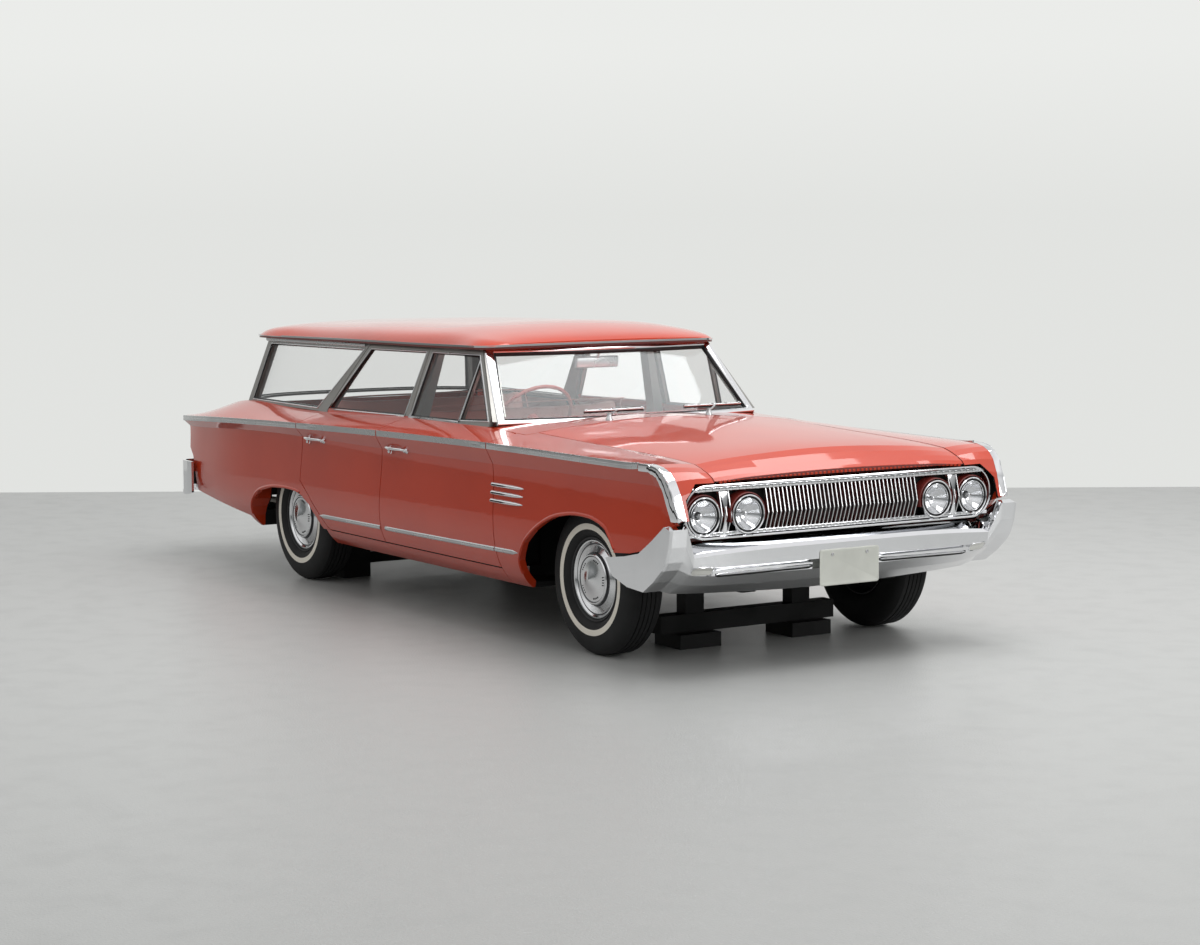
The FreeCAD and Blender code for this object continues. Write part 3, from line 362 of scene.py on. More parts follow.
def objectAxes(tree):
    coord = tree.nodes.new("ShaderNodeTexCoord")
    return (*addNode(tree, "SeparateXYZ", {0: coord.outputs["Object"]}).outputs, coord)


# Where the second finish of a panel begins, in object coordinates
maskFacts = {"turned": -0.4, "deep": 0.782, "low": 0.735, "lean": 0.03, "nose": 2.30, "tail": -2.25,
             "cowl": 0.868, "sill": 0.8985, "roof": 1.2372, "roofLean": 0.0139, "underHalf": 0.72,
             "underTop": 0.3055}


# 1 on faces that look into the cabin
def inwardMask(tree):
    x, y, z, coord = objectAxes(tree)
    normal = addNode(tree, "SeparateXYZ", {0: coord.outputs["Normal"]})
    facing = calc(tree, normal.outputs[1], "MULTIPLY", calc(tree, y, "SIGN"))
    return calc(tree, facing, "LESS_THAN", maskFacts["turned"])


# 1 on faces that look at the car's middle, and on all that lies well inside the body side
def hiddenMask(tree):
    x, y, z, coord = objectAxes(tree)
    deep = calc(tree, calc(tree, y, "ABSOLUTE"), "LESS_THAN", maskFacts["deep"])
    leaning = calc(tree, z, "SUBTRACT", calc(tree, x, "MULTIPLY", maskFacts["lean"]))
    low = calc(tree, leaning, "LESS_THAN", maskFacts["low"])
    behind = calc(tree, x, "LESS_THAN", maskFacts["nose"])
    inside = calc(tree, calc(tree, deep, "MULTIPLY", low), "MULTIPLY", behind)
    ahead = calc(tree, x, "GREATER_THAN", maskFacts["tail"])  # the panels' ends beside the tailgate are painted
    return calc(tree, calc(tree, inwardMask(tree), "MAXIMUM", inside), "MULTIPLY", ahead)


def cowlMask(tree):
    return calc(tree, objectAxes(tree)[2], "LESS_THAN", maskFacts["cowl"])


def doorMask(tree):
    return calc(tree, objectAxes(tree)[2], "GREATER_THAN", maskFacts["sill"])


def roofMask(tree):
    x, y, z, coord = objectAxes(tree)
    edge = calc(tree, calc(tree, x, "MULTIPLY", maskFacts["roofLean"]), "ADD", maskFacts["roof"])
    return calc(tree, z, "LESS_THAN", edge)


def underMask(tree):
    x, y, z, coord = objectAxes(tree)
    inner = calc(tree, calc(tree, y, "ABSOLUTE"), "LESS_THAN", maskFacts["underHalf"])
    return calc(tree, inner, "MAXIMUM", calc(tree, z, "GREATER_THAN", maskFacts["underTop"]))


paint = bodyMaterial("CoralPaint")
panelPaint = bodyMaterial("PanelPaint", look["underside"], hiddenMask, 0.75)
cowlPaint = bodyMaterial("CowlPaint", look["underside"], cowlMask, 0.75)
doorPaint = bodyMaterial("DoorPaint", look["frameGrey"], doorMask, 0.35, 0.75)
roofPaint = bodyMaterial("RoofPaint", look["frameGrey"], roofMask, 0.35, 0.75)
framePaint = surface("FramePaint", look["frameGrey"], 0.35, 0.75)
underPaint = bodyMaterial("UnderPaint", look["underside"], underMask, 0.75)
chrome = surface("Chrome", (0.83, 0.835, 0.85), 0.05, 1.0, mottled=0.07, darker=0.94)
satinMetal = surface("SatinMetal", (0.62, 0.625, 0.63), 0.26, 1.0, mottled=0.1)
brushed = surface("Brushed", (0.55, 0.56, 0.58), 0.3, 1.0, mottled=0.12)
coverGrooveShade = surface("CoverGroovePaintedShade", (0.09, 0.09, 0.095), 0.35, 0.9)
coverMetal = surface("CoverMetal", (0.74, 0.745, 0.755), 0.12, 1.0, mottled=0.06)
darkMetal = surface("DarkMetal", (0.03, 0.03, 0.032), 0.45, 0.2)
blackSatin = surface("BlackSatin", (0.007, 0.007, 0.007), 0.55, specular=0.3)
rubber = surface("Rubber", (0.0035, 0.0036, 0.004), 0.70, mottled=0.15, grain=0.0002, grainScale=900.0)
sealRubber = surface("SealRubber", (0.01, 0.01, 0.011), 0.5)
whitewall = surface("Whitewall", (0.74, 0.70, 0.62), 0.55, mottled=0.1, darker=0.9)
# Body red darkened for recesses: painted shade
paintedShadeRed = surface("PaintedShadeRed", (0.16, 0.018, 0.013), 0.38, coat=0.5)
vinylRed = surface("VinylRed", (0.30, 0.045, 0.035), 0.42, mottled=0.12, grain=0.00025, grainScale=650.0)
vinylDark = surface("VinylDark", (0.13, 0.045, 0.045), 0.5, mottled=0.12, grain=0.00025, grainScale=650.0)
vinylPink = surface("VinylPink", (0.52, 0.20, 0.17), 0.42, mottled=0.1, grain=0.00025, grainScale=650.0)
carpet = surface("Carpet", (0.12, 0.025, 0.02), 0.95, mottled=0.03, grain=0.0015, grainScale=500.0,
                 specular=0.1)
headliner = surface("Headliner", (0.55, 0.50, 0.46), 0.85, mottled=0.05, grain=0.0004, grainScale=800.0)
plateMetal = surface("PlateMetal", (0.62, 0.63, 0.58), 0.4, 0.2, grain=0.0001)
dialFace = surface("DialFace", (0.04, 0.04, 0.045), 0.4)
dialMark = surface("DialMark", (0.8, 0.8, 0.75), 0.5)
castIron = surface("CastIron", (0.06, 0.065, 0.07), 0.65, 0.4, grain=0.0004, grainScale=300.0)
engineBlue = surface("EnginePaint", (0.05, 0.09, 0.12), 0.5, grain=0.0003, grainScale=300.0)
pipeSteel = surface("PipeSteel", (0.22, 0.2, 0.18), 0.5, 0.8, grain=0.0003, grainScale=200.0)
mirrorGlass = surface("MirrorGlass", (0.9, 0.9, 0.92), 0.02, 1.0, mottled=0.01)


# Clear pane: mirror-like at grazing angles, see-through when looked at squarely
def glassMaterial(name, color, base, gain, rough=0.01):
    mat, tree, shader = newMaterial(name)
    layer = addNode(tree, "LayerWeight", {"Blend": 0.5})
    power = calc(tree, layer.outputs["Facing"], "POWER", 4.0)
    alpha = calc(tree, calc(tree, power, "MULTIPLY", gain), "ADD", base)
    feed(tree, shader, {"Alpha": alpha, "Base Color": color, "Metallic": 1.0, "Roughness": rough})
    mat.surface_render_method = "DITHERED"
    return mat


windowGlass = glassMaterial("WindowGlass", (0.80, 0.84, 0.85), 0.035, 0.55)
lampGlass = glassMaterial("LampGlass", (0.85, 0.87, 0.9), 0.16, 0.7, 0.06)
clearLens = surface("ClearLens", (0.62, 0.62, 0.58), 0.12, coat=1.0)
redLens = surface("RedLens", (0.35, 0.008, 0.008), 0.12, coat=1.0)


# Gives CAD nodes a finish
def dress(material, *names):
    for name in names:
        mesh = nodes[name].data
        mesh.materials.clear()
        mesh.materials.append(material)


dress(paint, "hood", "tailgate")
dress(cowlPaint, "cowl")
dress(panelPaint, "fender_left", "fender_right", "quarter_left", "quarter_right")
dress(doorPaint, "door_front_left", "door_front_right", "door_rear_left", "door_rear_right")
dress(roofPaint, "roof")
dress(underPaint, "underbody")
# The nose panel takes the darkened red: painted shade in its recess
dress(paintedShadeRed, "nose_panel")
dress(framePaint, "pillars", "centre_posts")
dress(blackSatin, "front_frame", "cargo_floor", "stands")
dress(vinylRed, "dash", "front_seat", "rear_seat", "steering_wheel")
dress(satinMetal, "wipers")
dress(windowGlass, "windscreen", "tailgate_glass", "quarter_glass", "glass_front_left", "glass_front_right",
      "glass_rear_left", "glass_rear_right")
dress(chrome, "front_bumper", "rear_bumper")
dress(darkMetal, "wheel_front_left", "wheel_front_right", "wheel_rear_left", "wheel_rear_right", "rear_axle",
      "front_suspension", "knuckle_left", "knuckle_right", "fuel_tank", "radiator")
dress(pipeSteel, "exhaust")
dress(castIron, "engine")
dress(redLens, "tail_lamps")
print("scene: finishes on the frame")

# Camera, floor and studio light
camData = bpy.data.cameras.new("PhotoCamera")
view = {"place": (10.8273619, -6.53008327, 1.84890615), "yaw": 147.66331876, "pitch": -5.68821328,
        "roll": -0.27373817, "lens": 78.0, "sensor": 36.0, "reach": 200.0}
camData.lens = view["lens"]
camData.sensor_width = view["sensor"]
camData.clip_end = view["reach"]
camera = link(bpy.data.objects.new("PhotoCamera", camData))
yaw, pitch, roll = (math.radians(view[k]) for k in ("yaw", "pitch", "roll"))
forward = Vector((math.cos(pitch) * math.cos(yaw), math.cos(pitch) * math.sin(yaw), math.sin(pitch)))
flat = Vector((math.sin(yaw), -math.cos(yaw), 0.0))
over = flat.cross(forward)
right = flat * math.cos(roll) + over * math.sin(roll)
top = over * math.cos(roll) - flat * math.sin(roll)
camera.matrix_world = Matrix((
    (right.x, top.x, -forward.x, view["place"][0]),
    (right.y, top.y, -forward.y, view["place"][1]),
    (right.z, top.z, -forward.z, view["place"][2]),
    (0.0, 0.0, 0.0, 1.0)))
scene.camera = camera

floorMat = surface("FloorPaint", (0.368, 0.373, 0.368), 0.36, mottled=0.05, darker=0.95, grain=0.0006,
                   grainScale=120.0)
floorFacts = {"along": (-60.0, 17.4), "half": 70.0}  # from the foot of the camera, the way that it looks
floorBm = bmesh.new()
ahead = Vector((math.cos(yaw), math.sin(yaw), 0.0))
foot = Vector((view["place"][0], view["place"][1], 0.0))
near, far = (foot + ahead * along for along in floorFacts["along"])
reach = flat * floorFacts["half"]
floorBm.faces.new([floorBm.verts.new(corner) for corner in (near - reach, near + reach, far + reach,
                                                            far - reach)])
floorObj = finishMesh(floorBm, "Floor", floorMat, None)

# World: plain light for the car, and a pale curtain colour for what the eye, metal and glass see of it
studioFacts = {
    "light": [(0.0, (0.62, 0.62, 0.60)), (0.55, (1.0, 1.0, 0.99))],
    "strength": 0.8,
    "curtain": [(0.0, (0.76, 0.77, 0.75)), (0.06, (0.83, 0.84, 0.82)), (0.45, (0.86, 0.87, 0.86)),
                (0.8, (0.42, 0.43, 0.44))],
    "room": [(0.0, (0.13, 0.135, 0.13)), (0.10, (0.17, 0.18, 0.18)), (0.5, (1.0, 1.0, 1.0)),
             (0.85, (0.80, 0.80, 0.81))],
    "edge": (0.42, 0.86),
}
world = bpy.data.worlds.new("Studio")
scene.world = world
world.use_nodes = True
worldTree = world.node_tree
direction = worldTree.nodes.new("ShaderNodeTexCoord").outputs["Generated"]
height = addNode(worldTree, "SeparateXYZ", {0: direction}).outputs[2]


def worldRamp(stops):
    ramp = addNode(worldTree, "ValToRGB", {"Fac": height})
    while len(ramp.color_ramp.elements) < len(stops):
        ramp.color_ramp.elements.new(0.5)
    for element, (place, color) in zip(ramp.color_ramp.elements, stops):
        element.position = place
        element.color = (*color, 1.0)
    return ramp.outputs["Color"]


back = feed(worldTree, worldTree.nodes["Background"],
            {"Color": worldRamp(studioFacts["light"]), "Strength": studioFacts["strength"]})
# The curtain is only behind the car; the rest of the studio is dim in metal and paint
toward = addNode(worldTree, "VectorMath", {0: direction, 1: (ahead.x, ahead.y, 0.0)})
toward.operation = "DOT_PRODUCT"
start, end = studioFacts["edge"]
facing = addNode(worldTree, "MapRange", {"Value": toward.outputs["Value"], "From Min": start, "From Max": end})
facing.interpolation_type = "SMOOTHSTEP"
curtain = worldRamp(studioFacts["curtain"])
studio = mixColor(worldTree, facing.outputs["Result"], worldRamp(studioFacts["room"]), curtain)
ray = worldTree.nodes.new("ShaderNodeLightPath").outputs
seen = addNode(worldTree, "Background", {"Color": mixColor(worldTree, ray["Is Camera Ray"], studio, curtain)})
bright = calc(worldTree, ray["Is Camera Ray"], "MAXIMUM", ray["Is Glossy Ray"])
bright = calc(worldTree, bright, "MAXIMUM", ray["Is Transmission Ray"])
choose = addNode(worldTree, "MixShader", {0: bright, 1: back.outputs[0], 2: seen.outputs[0]})
feed(worldTree, worldTree.nodes["World Output"], {"Surface": choose.outputs[0]})


def areaLight(name, place, target, size, power):
    data = bpy.data.lights.new(name, "AREA")
    data.shape = "RECTANGLE"
    data.size, data.size_y = size
    data.energy = power
    obj = link(bpy.data.objects.new(name, data))
    obj.location = place
    obj.rotation_euler = (Vector(target) - Vector(place)).to_track_quat("-Z", "Y").to_euler()


areaLight("TopSoft", (1.5, 1.0, 6.5), (0.3, 0.0, 0.5), (7.0, 5.0), 420.0)
areaLight("FrontSoft", (8.5, 3.5, 4.0), (1.5, 0.0, 0.6), (4.0, 3.0), 160.0)
scene.view_settings.view_transform = "Standard"
print("scene: camera and light")

# Chrome along the blade of the body side, cut at the shut lines
sideNames = {1: "left", -1: "right"}
bladeTrim = {"steps": 30, "scan": 0.004, "low": 0.60, "high": 0.875, "floor": 0.62, "flat": 0.0035,
             "lift": 0.0014, "widest": 0.907579}
bladeSection = [(-0.010, 0.0006), (-0.004, 0.0020), (0.0008, 0.0014), (0.0014, -0.002), (0.0012, -0.0085),
                (0.0004, -0.0095), (0.0004, -0.0115), (0.0012, -0.0125), (0.0014, -0.021), (0.0004, -0.0256),
                (-0.006, -0.0275), (-0.009, -0.020)]


# Outer face of the blade at x: how far out it is, its upper corner and its lower corner
def bladeEdge(x):
    samples = []
    z = bladeTrim["low"]
    while z < bladeTrim["high"]:
        samples.append((z, skinY(x, z)))
        z += bladeTrim["scan"]
    out = max(y for z, y in samples if z > bladeTrim["floor"])
    flat = out - bladeTrim["flat"]
    face = [z for z, y in samples if y > flat]
    high, clear = max(face), max(face) + bladeTrim["scan"]
    for _ in range(7):
        mid = 0.5 * (high + clear)
        if skinY(x, mid) > flat:
            high = mid
        else:
            clear = mid
    return out, high, min(face)


spans = [("quarter", "body", -2.402, -0.8895), ("door_rear", "door_rear_{}", -0.8825, -0.0265),
         ("door_front", "door_front_{}", -0.0195, 1.0095), ("fender", "body", 1.0165, 2.1745)]
for spanName, bodyName, x0, x1 in spans:
    edges = [(x, *bladeEdge(x)[:2]) for x in span(x0, x1, bladeTrim["steps"] + 1)]
    for _ in range(2):
        inner = [(edges[k][0], (edges[k - 1][1] + 2.0 * edges[k][1] + edges[k + 1][1]) / 4.0,
                  (edges[k - 1][2] + 2.0 * edges[k][2] + edges[k + 1][2]) / 4.0)
                 for k in range(1, len(edges) - 1)]
        edges = edges[:1] + inner + edges[-1:]
    for side, sideName in sideNames.items():
        bm = bmesh.new()
        rows = [[(x, side * min(y + s + bladeTrim["lift"], bladeTrim["widest"]), z + t)
                 for s, t in bladeSection]
                for x, y, z in edges]
        addTube(bm, rows)
        finishMesh(bm, "blade_trim_" + spanName + "_" + sideName, satinMetal, bodyName.format(sideName), 25.0)
print("scene: blade trim")

# Bright cap over the fender's front corner, down to the bumper, with a dark line in its side
capFacts = {"x": (2.1785, 2.4255), "rows": 44, "inner": 0.038, "stand": 0.0024, "line": 0.0042, "floor": 0.6375}
capEdges = []
for k in range(capFacts["rows"]):
    t = k / (capFacts["rows"] - 1.0)
    x = capFacts["x"][0] + (capFacts["x"][1] - capFacts["x"][0]) * (1.0 - (1.0 - t) ** 1.7)
    out, high, low = bladeEdge(x)
    capEdges.append((x, out, high, max(low, capFacts["floor"])))
for side, sideName in sideNames.items():
    bm, dark = bmesh.new(), bmesh.new()
    rows, lineRows = [], []
    for k, (x, out, high, low) in enumerate(capEdges):
        before, after = capEdges[max(k - 1, 0)], capEdges[min(k + 1, len(capEdges) - 1)]
        slope = Vector((after[0] - before[0], 0.0, after[2] - before[2])).normalized()
        normal = Vector((-slope.z, 0.0, slope.x))
        width = capFacts["inner"] * min(1.0, 0.14 + (x - capFacts["x"][0]) / 0.055)
        stand = capFacts["stand"]
        points = []
        for part, lift in ((1.0, -0.004), (1.0, stand * 0.7), (0.62, stand * 1.3), (0.25, stand * 1.3),
                           (0.05, stand * 0.9)):
            y = out - width * part
            z = skinZ(x, y) or high
            points.append(Vector((x, y, max(min(z, high + 0.02), high - 0.03))) + normal * lift)
        drop = high - low
        for part, lift in ((0.06, 0.7), (0.2, 1.0), (0.8, 1.0), (0.94, 0.7), (1.0, 0.1), (1.0, -3.0)):
            points.append(Vector((x, out + stand * lift, high - drop * part)))
        points.append(Vector((x, out - 0.020, high - drop * 0.5)))
        rows.append([(q.x, side * q.y, q.z) for q in points])
        middle = high - drop * 0.5
        half = min(capFacts["line"], drop * 0.16)
        lineRows.append([(x, side * (out + stand + 0.0007), middle + half),
                         (x, side * (out + stand + 0.0007), middle - half)])
    addTube(bm, rows)
    addGrid(dark, lineRows[6:-4])
    finishMesh(bm, "fender_cap_" + sideName, chrome, "body", 26.0)
    finishMesh(dark, "fender_cap_line_" + sideName, blackSatin, "body", 40.0)
print("scene: fender caps")

# Rolled lips round the wheel openings
archFacts = {"wide": 0.013, "proud": 0.0045, "probe": 0.012}
archLines = {
    "front": [(1.2335, 0.300), (1.246, 0.363), (1.302, 0.445), (1.382, 0.507), (1.460, 0.549), (1.539, 0.578),
              (1.651, 0.597), (1.730, 0.600), (1.808, 0.596), (1.870, 0.582), (1.923, 0.558), (1.983, 0.486)],
    "rear": [(-1.523, 0.300), (-1.500, 0.341), (-1.461, 0.384), (-1.373, 0.436), (-1.216, 0.468),
             (-1.052, 0.476), (-0.940, 0.472), (-0.8925, 0.464)],
}
for end, line in archLines.items():
    curve = smoothPath([(x, 0.0, z) for x, z in line], 5)
    for side, sideName in sideNames.items():
        rows = []
        for k, point in enumerate(curve):
            before, after = curve[max(k - 1, 0)], curve[min(k + 1, len(curve) - 1)]
            tangent = (after - before).normalized()
            away = Vector((-tangent.z, 0.0, tangent.x))
            if away.z < 0.0:
                away = -away
            probe = point + away * archFacts["probe"]
            y = skinY(probe.x, probe.z)
            row = []
            for reach, out in ((-0.0005, -0.018), (-0.0005, 0.0015), (0.0025, archFacts["proud"]),
                               (0.0065, archFacts["proud"] + 0.0006), (archFacts["wide"] - 0.002, 0.0018),
                               (archFacts["wide"] + 0.004, -0.002)):
                spot = point + away * reach
                row.append((spot.x, side * (y + out), spot.z))
            rows.append(row)
        bm = bmesh.new()
        addGrid(bm, rows)
        finishMesh(bm, "arch_lip_" + end + "_" + sideName, paint, "body", 60.0)
print("scene: wheel opening lips")

# Lower body moulding with pointed ends
lowTrim = {"x": (-0.706, 1.243), "z": (0.3732, 0.394), "stand": 0.0055, "point": 0.045}
lowSpans = [("door_rear", "door_rear_{}", -0.680, -0.0265), ("door_front", "door_front_{}", -0.0195, 1.0470),
            ("fender", "body", 1.0545, 1.243)]
lowSection = [(-0.004, 0.0100), (0.0010, 0.0100), (0.0040, 0.0062), (lowTrim["stand"], 0.0), (0.0040, -0.0062),
              (0.0010, -0.0100), (-0.004, -0.0100)]
for spanName, bodyName, x0, x1 in lowSpans:
    for side, sideName in sideNames.items():
        rows = []
        for x in span(x0, x1, 25):
            t = (x - lowTrim["x"][0]) / (lowTrim["x"][1] - lowTrim["x"][0])
            z = lowTrim["z"][0] + t * (lowTrim["z"][1] - lowTrim["z"][0])
            nearEnd = 1.0
            if spanName == "door_rear":
                nearEnd = min(1.0, (x - x0) / lowTrim["point"] + 0.08)
            if spanName == "fender":
                nearEnd = min(1.0, (x1 - x) / lowTrim["point"] + 0.08)
            y = skinY(x, z)
            rows.append([(x, side * (y + s * (1.0 if s < 0 else nearEnd)), z + u * nearEnd)
                         for s, u in lowSection])
        bm = bmesh.new()
        addTube(bm, rows)
        finishMesh(bm, "low_trim_" + spanName + "_" + sideName, satinMetal, bodyName.format(sideName), 40.0)

# Three bullet bars on each front fender
barFacts = {"tops": (0.683, 0.648, 0.613), "x": (1.022, 1.279), "nose": 1.165, "half": 0.009, "stand": 0.011,
            "dark": (1.026, 1.150)}
for side, sideName in sideNames.items():
    bm = bmesh.new()
    for topZ in barFacts["tops"]:
        z0 = topZ - barFacts["half"]
        rows = []
        for x in span(*barFacts["x"], 33):
            nose = max(0.0, (x - barFacts["nose"]) / (barFacts["x"][1] - barFacts["nose"]))
            size = math.sqrt(max(0.0, 1.0 - nose ** 2)) if nose > 0 else 1.0
            size = max(size, 0.06)
            y = skinY(x, z0)
            ring = []
            for degrees in span(-96.0, 96.0, 13):
                a = math.radians(degrees)
                out = barFacts["stand"] * math.cos(a) * size
                ring.append((x, side * (y + out), z0 + barFacts["half"] * math.sin(a) * size))
            rows.append(ring)
        addTube(bm, rows)
    finishMesh(bm, "fender_bars_" + sideName, chrome, "body", 50.0)
    bm = bmesh.new()
    for topZ in barFacts["tops"]:
        z0 = topZ - barFacts["half"]
        rows = []
        for k, x in enumerate(span(*barFacts["dark"], 13)):
            y = skinY(x, z0) + barFacts["stand"] * 0.90
            taper = 1.0 if k < 10 else 1.0 - 0.26 * (k - 9)
            ring = [(x, side * (y + o), z0 + u * taper) for o, u in
                    ((0.0006, 0.0032), (0.0014, 0.0016), (0.0014, -0.0016), (0.0006, -0.0032), (-0.004, -0.003),
                     (-0.004, 0.003))]
            rows.append(ring)
        addTube(bm, rows)
    finishMesh(bm, "fender_bar_inlays_" + sideName, blackSatin, "body", 50.0)
print("scene: side mouldings")

# Door handles: a lever on two feet with a round push button
handleFacts = {"front": (0.045, 0.253, 0.764), "rear": (-0.830, -0.618, 0.748)}
for end, (x0, x1, z0) in handleFacts.items():
    for side, sideName in sideNames.items():
        bodyName = "door_" + end + "_" + sideName
        base = min(skinY(x0 + 0.02, z0 - 0.004), skinY(x1 - 0.02, z0 - 0.004))
        bm = bmesh.new()
        rows = []
        for t in span(0.0, 1.0, 21):
            x = x0 + (x1 - x0) * t
            rise = (math.sin(math.pi * min(1.0, t * 1.25 + 0.06)) ** 0.5 if t < 0.76
                    else (1.0 - (t - 0.76) / 0.30) ** 1.5)
            out = base + 0.006 + 0.017 * rise
            half = 0.0075 if t > 0.1 else 0.0045 + 0.03 * t
            half = half * (1.0 - 0.35 * t)
            ring = [(x, side * (out + o * 0.0045), z0 + u * half) for o, u in circleSection(1.0, 12)]
            rows.append(ring)
        addTube(bm, rows)
        outward = (0.0, side, 0.0)
        for fx, radius in ((x0 + 0.026, 0.0125), (x1 - 0.022, 0.013)):
            foot = [(0.0, -0.004), (radius * 1.15, -0.004), (radius * 1.15, 0.0015), (radius, 0.004),
                    (radius * 0.72, 0.013), (radius * 0.6, 0.017), (0.0, 0.017)]
            addLathe(bm, foot, (fx, side * base, z0 - 0.002), outward, 20)
        button = [(0.0, 0.004), (0.0085, 0.004), (0.0085, 0.0215), (0.0072, 0.0235), (0.0, 0.0245)]
        housing = [(0.0, -0.004), (0.012, -0.004), (0.012, 0.011), (0.010, 0.013), (0.0, 0.013)]
        for profile in (button, housing):
            addLathe(bm, profile, (x0 + 0.047, side * base, z0 - 0.0155), outward, 20)
        finishMesh(bm, "door_handle_" + end + "_" + sideName, chrome, bodyName, 30.0)
print("scene: door handles")

# Drip rail round the roof edge and over the windscreen
railHalf = [(-1.905, 0.602, 1.213), (-1.86, 0.641, 1.2148), (-1.70, 0.648, 1.2165), (-1.5, 0.652, 1.219),
            (-0.8, 0.657, 1.230), (-0.1, 0.657, 1.238), (0.35, 0.654, 1.244), (0.50, 0.645, 1.246),
            (0.555, 0.600, 1.248), (0.583, 0.545, 1.250), (0.587, 0.40, 1.2515), (0.5875, 0.0, 1.252)]
railCurve = smoothPath(railHalf + sided(railHalf[:-1], -1)[::-1], 8)
dripSection = [(0.0055, 0.0045), (-0.0045, 0.0055), (-0.0065, 0.003), (-0.0068, -0.003), (-0.0045, -0.0055),
               (0.0055, -0.0045)]
sweepPiece("drip_rail", railCurve, dripSection, chrome, "body")
# Dark red strip under the drip rail: painted shadow
dripShadowCurve = [(p.x - (0.0 if abs(p.y) > 0.6 else 0.006), p.y * 0.992, p.z - 0.0095) for p in railCurve]
sweepPiece("drip_shadow", dripShadowCurve, [(0.005, 0.0045), (-0.004, 0.0045), (-0.004, -0.0045), (0.005, -0.0045)],
           paintedShadeRed, "body")

# Bright moulding over each quarter window
for side, sideName in sideNames.items():
    path = smoothPath(sided([(-1.775, 0.6365, 1.196), (-1.4, 0.6395, 1.1995), (-0.95, 0.6395, 1.205),
                             (-0.635, 0.6365, 1.2085)], side), 8)
    sweepPiece("quarter_moulding_" + sideName, path, circleSection(0.0075, 12, 1.5), satinMetal, "body")

# Windscreen surround: wide bright frame with a rubber seal inside it
openLow, openHigh = (0.668, 0.925), (0.582, 1.216)
glassFacts = {"z": (0.885, 1.232), "half": (0.735, 0.622), "edge": (0.785, 0.508), "middle": (0.882, 0.572),
              "turn": 0.55, "left": 0.72}


# Value that runs from the sill to the roof
def glassAt(key, z):
    low, high = glassFacts["z"]
    start, end = glassFacts[key]
    return start + (end - start) * (z - low) / (high - low)


# Outline of the windscreen opening in y and z, grown on each edge
def ringPoints(growSide, growLow, growHigh):
    low = (openLow[0] + growSide, openLow[1] - growLow)
    high = (openHigh[0] + growSide, openHigh[1] + growHigh)
    corners = [(-low[0], low[1]), (low[0], low[1]), (high[0], high[1]), (-high[0], high[1])]
    return cutEdges(corners, 22)


# Where the windscreen's outer plane lies, bowed as the CAD glass is
def screenX(y, z):
    edge, turn, left = glassAt("edge", z), glassFacts["turn"], glassFacts["left"]
    u = min(1.0, abs(y) / glassAt("half", z))
    bow = 1.0 - (1.0 - left) * (u / turn) ** 2 if u < turn else left * (1.0 - u) / (1.0 - turn)
    return edge + (glassAt("middle", z) - edge) * max(0.0, bow)


def frameRing(name, rings, material, body):
    bm = bmesh.new()
    rows = []
    for growSide, growLow, growHigh, lift in rings:
        row = []
        for y, z in ringPoints(growSide, growLow, growHigh):
            row.append((screenX(y, z) + lift, y, z + lift * 0.6))
        rows.append(row)
    addGrid(bm, rows, closeRows=True, closeColumns=True)
    finishMesh(bm, name, material, body, 32.0)


frameRing("screen_surround", [(0.000, 0.000, 0.000, -0.010), (0.000, 0.000, 0.000, 0.003),
                              (0.004, 0.003, 0.003, 0.0065), (0.020, 0.010, 0.012, 0.0085),
                              (0.034, 0.016, 0.019, 0.0065), (0.038, 0.0185, 0.021, 0.002),
                              (0.038, 0.0185, 0.021, -0.010)], chrome, "body")
frameRing("screen_seal", [(0.0005, 0.0005, 0.0005, -0.012), (0.0005, 0.0005, 0.0005, 0.0015),
                          (-0.0045, -0.0045, -0.0045, 0.0025), (-0.0095, -0.0095, -0.0095, -0.0055),
                          (-0.0095, -0.0095, -0.0095, -0.012)], sealRubber, "body")
print("scene: drip rail and windscreen frame")

# Tyres: ribbed tread, rounded walls and a white band on the outboard side
wheelFacts = {
    "front_left": (1.679, 0.703, 1), "front_right": (1.679, -0.703, -1),
    "rear_left": (-1.102, 0.703, 1), "rear_right": (-1.102, -0.703, -1),
}
tyreFacts = {"segments": 120, "axle": 0.322, "groove": 0.006, "band": (0.2125, 0.2365)}
shadedGrooveBands = ((0.0955, 0.0995), (0.107, 0.1125), (0.149, 0.155))


# Radius and outboard offset of a tyre's skin, from the inboard bead to the outboard one
def tyreProfile():
    wall = [(0.1795, -0.064), (0.186, -0.073), (0.197, -0.0815), (0.212, -0.0870), (0.232, -0.0895),
            (0.252, -0.0893), (0.272, -0.0868), (0.288, -0.0830), (0.300, -0.0775), (0.309, -0.0710),
            (0.315, -0.0640), (0.3185, -0.0585)]
    tread = []
    ribEdges = [-0.0555, -0.0350, -0.0300, -0.0130, -0.0085, 0.0085, 0.0130, 0.0300, 0.0350, 0.0555]
    for i in range(0, len(ribEdges), 2):
        a, b = ribEdges[i], ribEdges[i + 1]
        crown = 0.3215 - 0.0012 * (abs(a + b) / 0.1) ** 2
        tread += [(crown - tyreFacts["groove"], a - 0.0005), (crown, a), (crown, b),
                  (crown - tyreFacts["groove"], b + 0.0005)]
    tread = tread[1:-1]
    outer = [(0.3185, 0.0585), (0.315, 0.0640), (0.309, 0.0710), (0.300, 0.0775), (0.288, 0.0830),
             (0.272, 0.0868), (0.252, 0.0893), (0.2375, 0.0893), (0.2370, 0.0900), (0.2250, 0.0898),
             (0.2120, 0.0882), (0.2115, 0.0868), (0.197, 0.0815), (0.186, 0.073), (0.1795, 0.064)]
    return wall + tread + outer


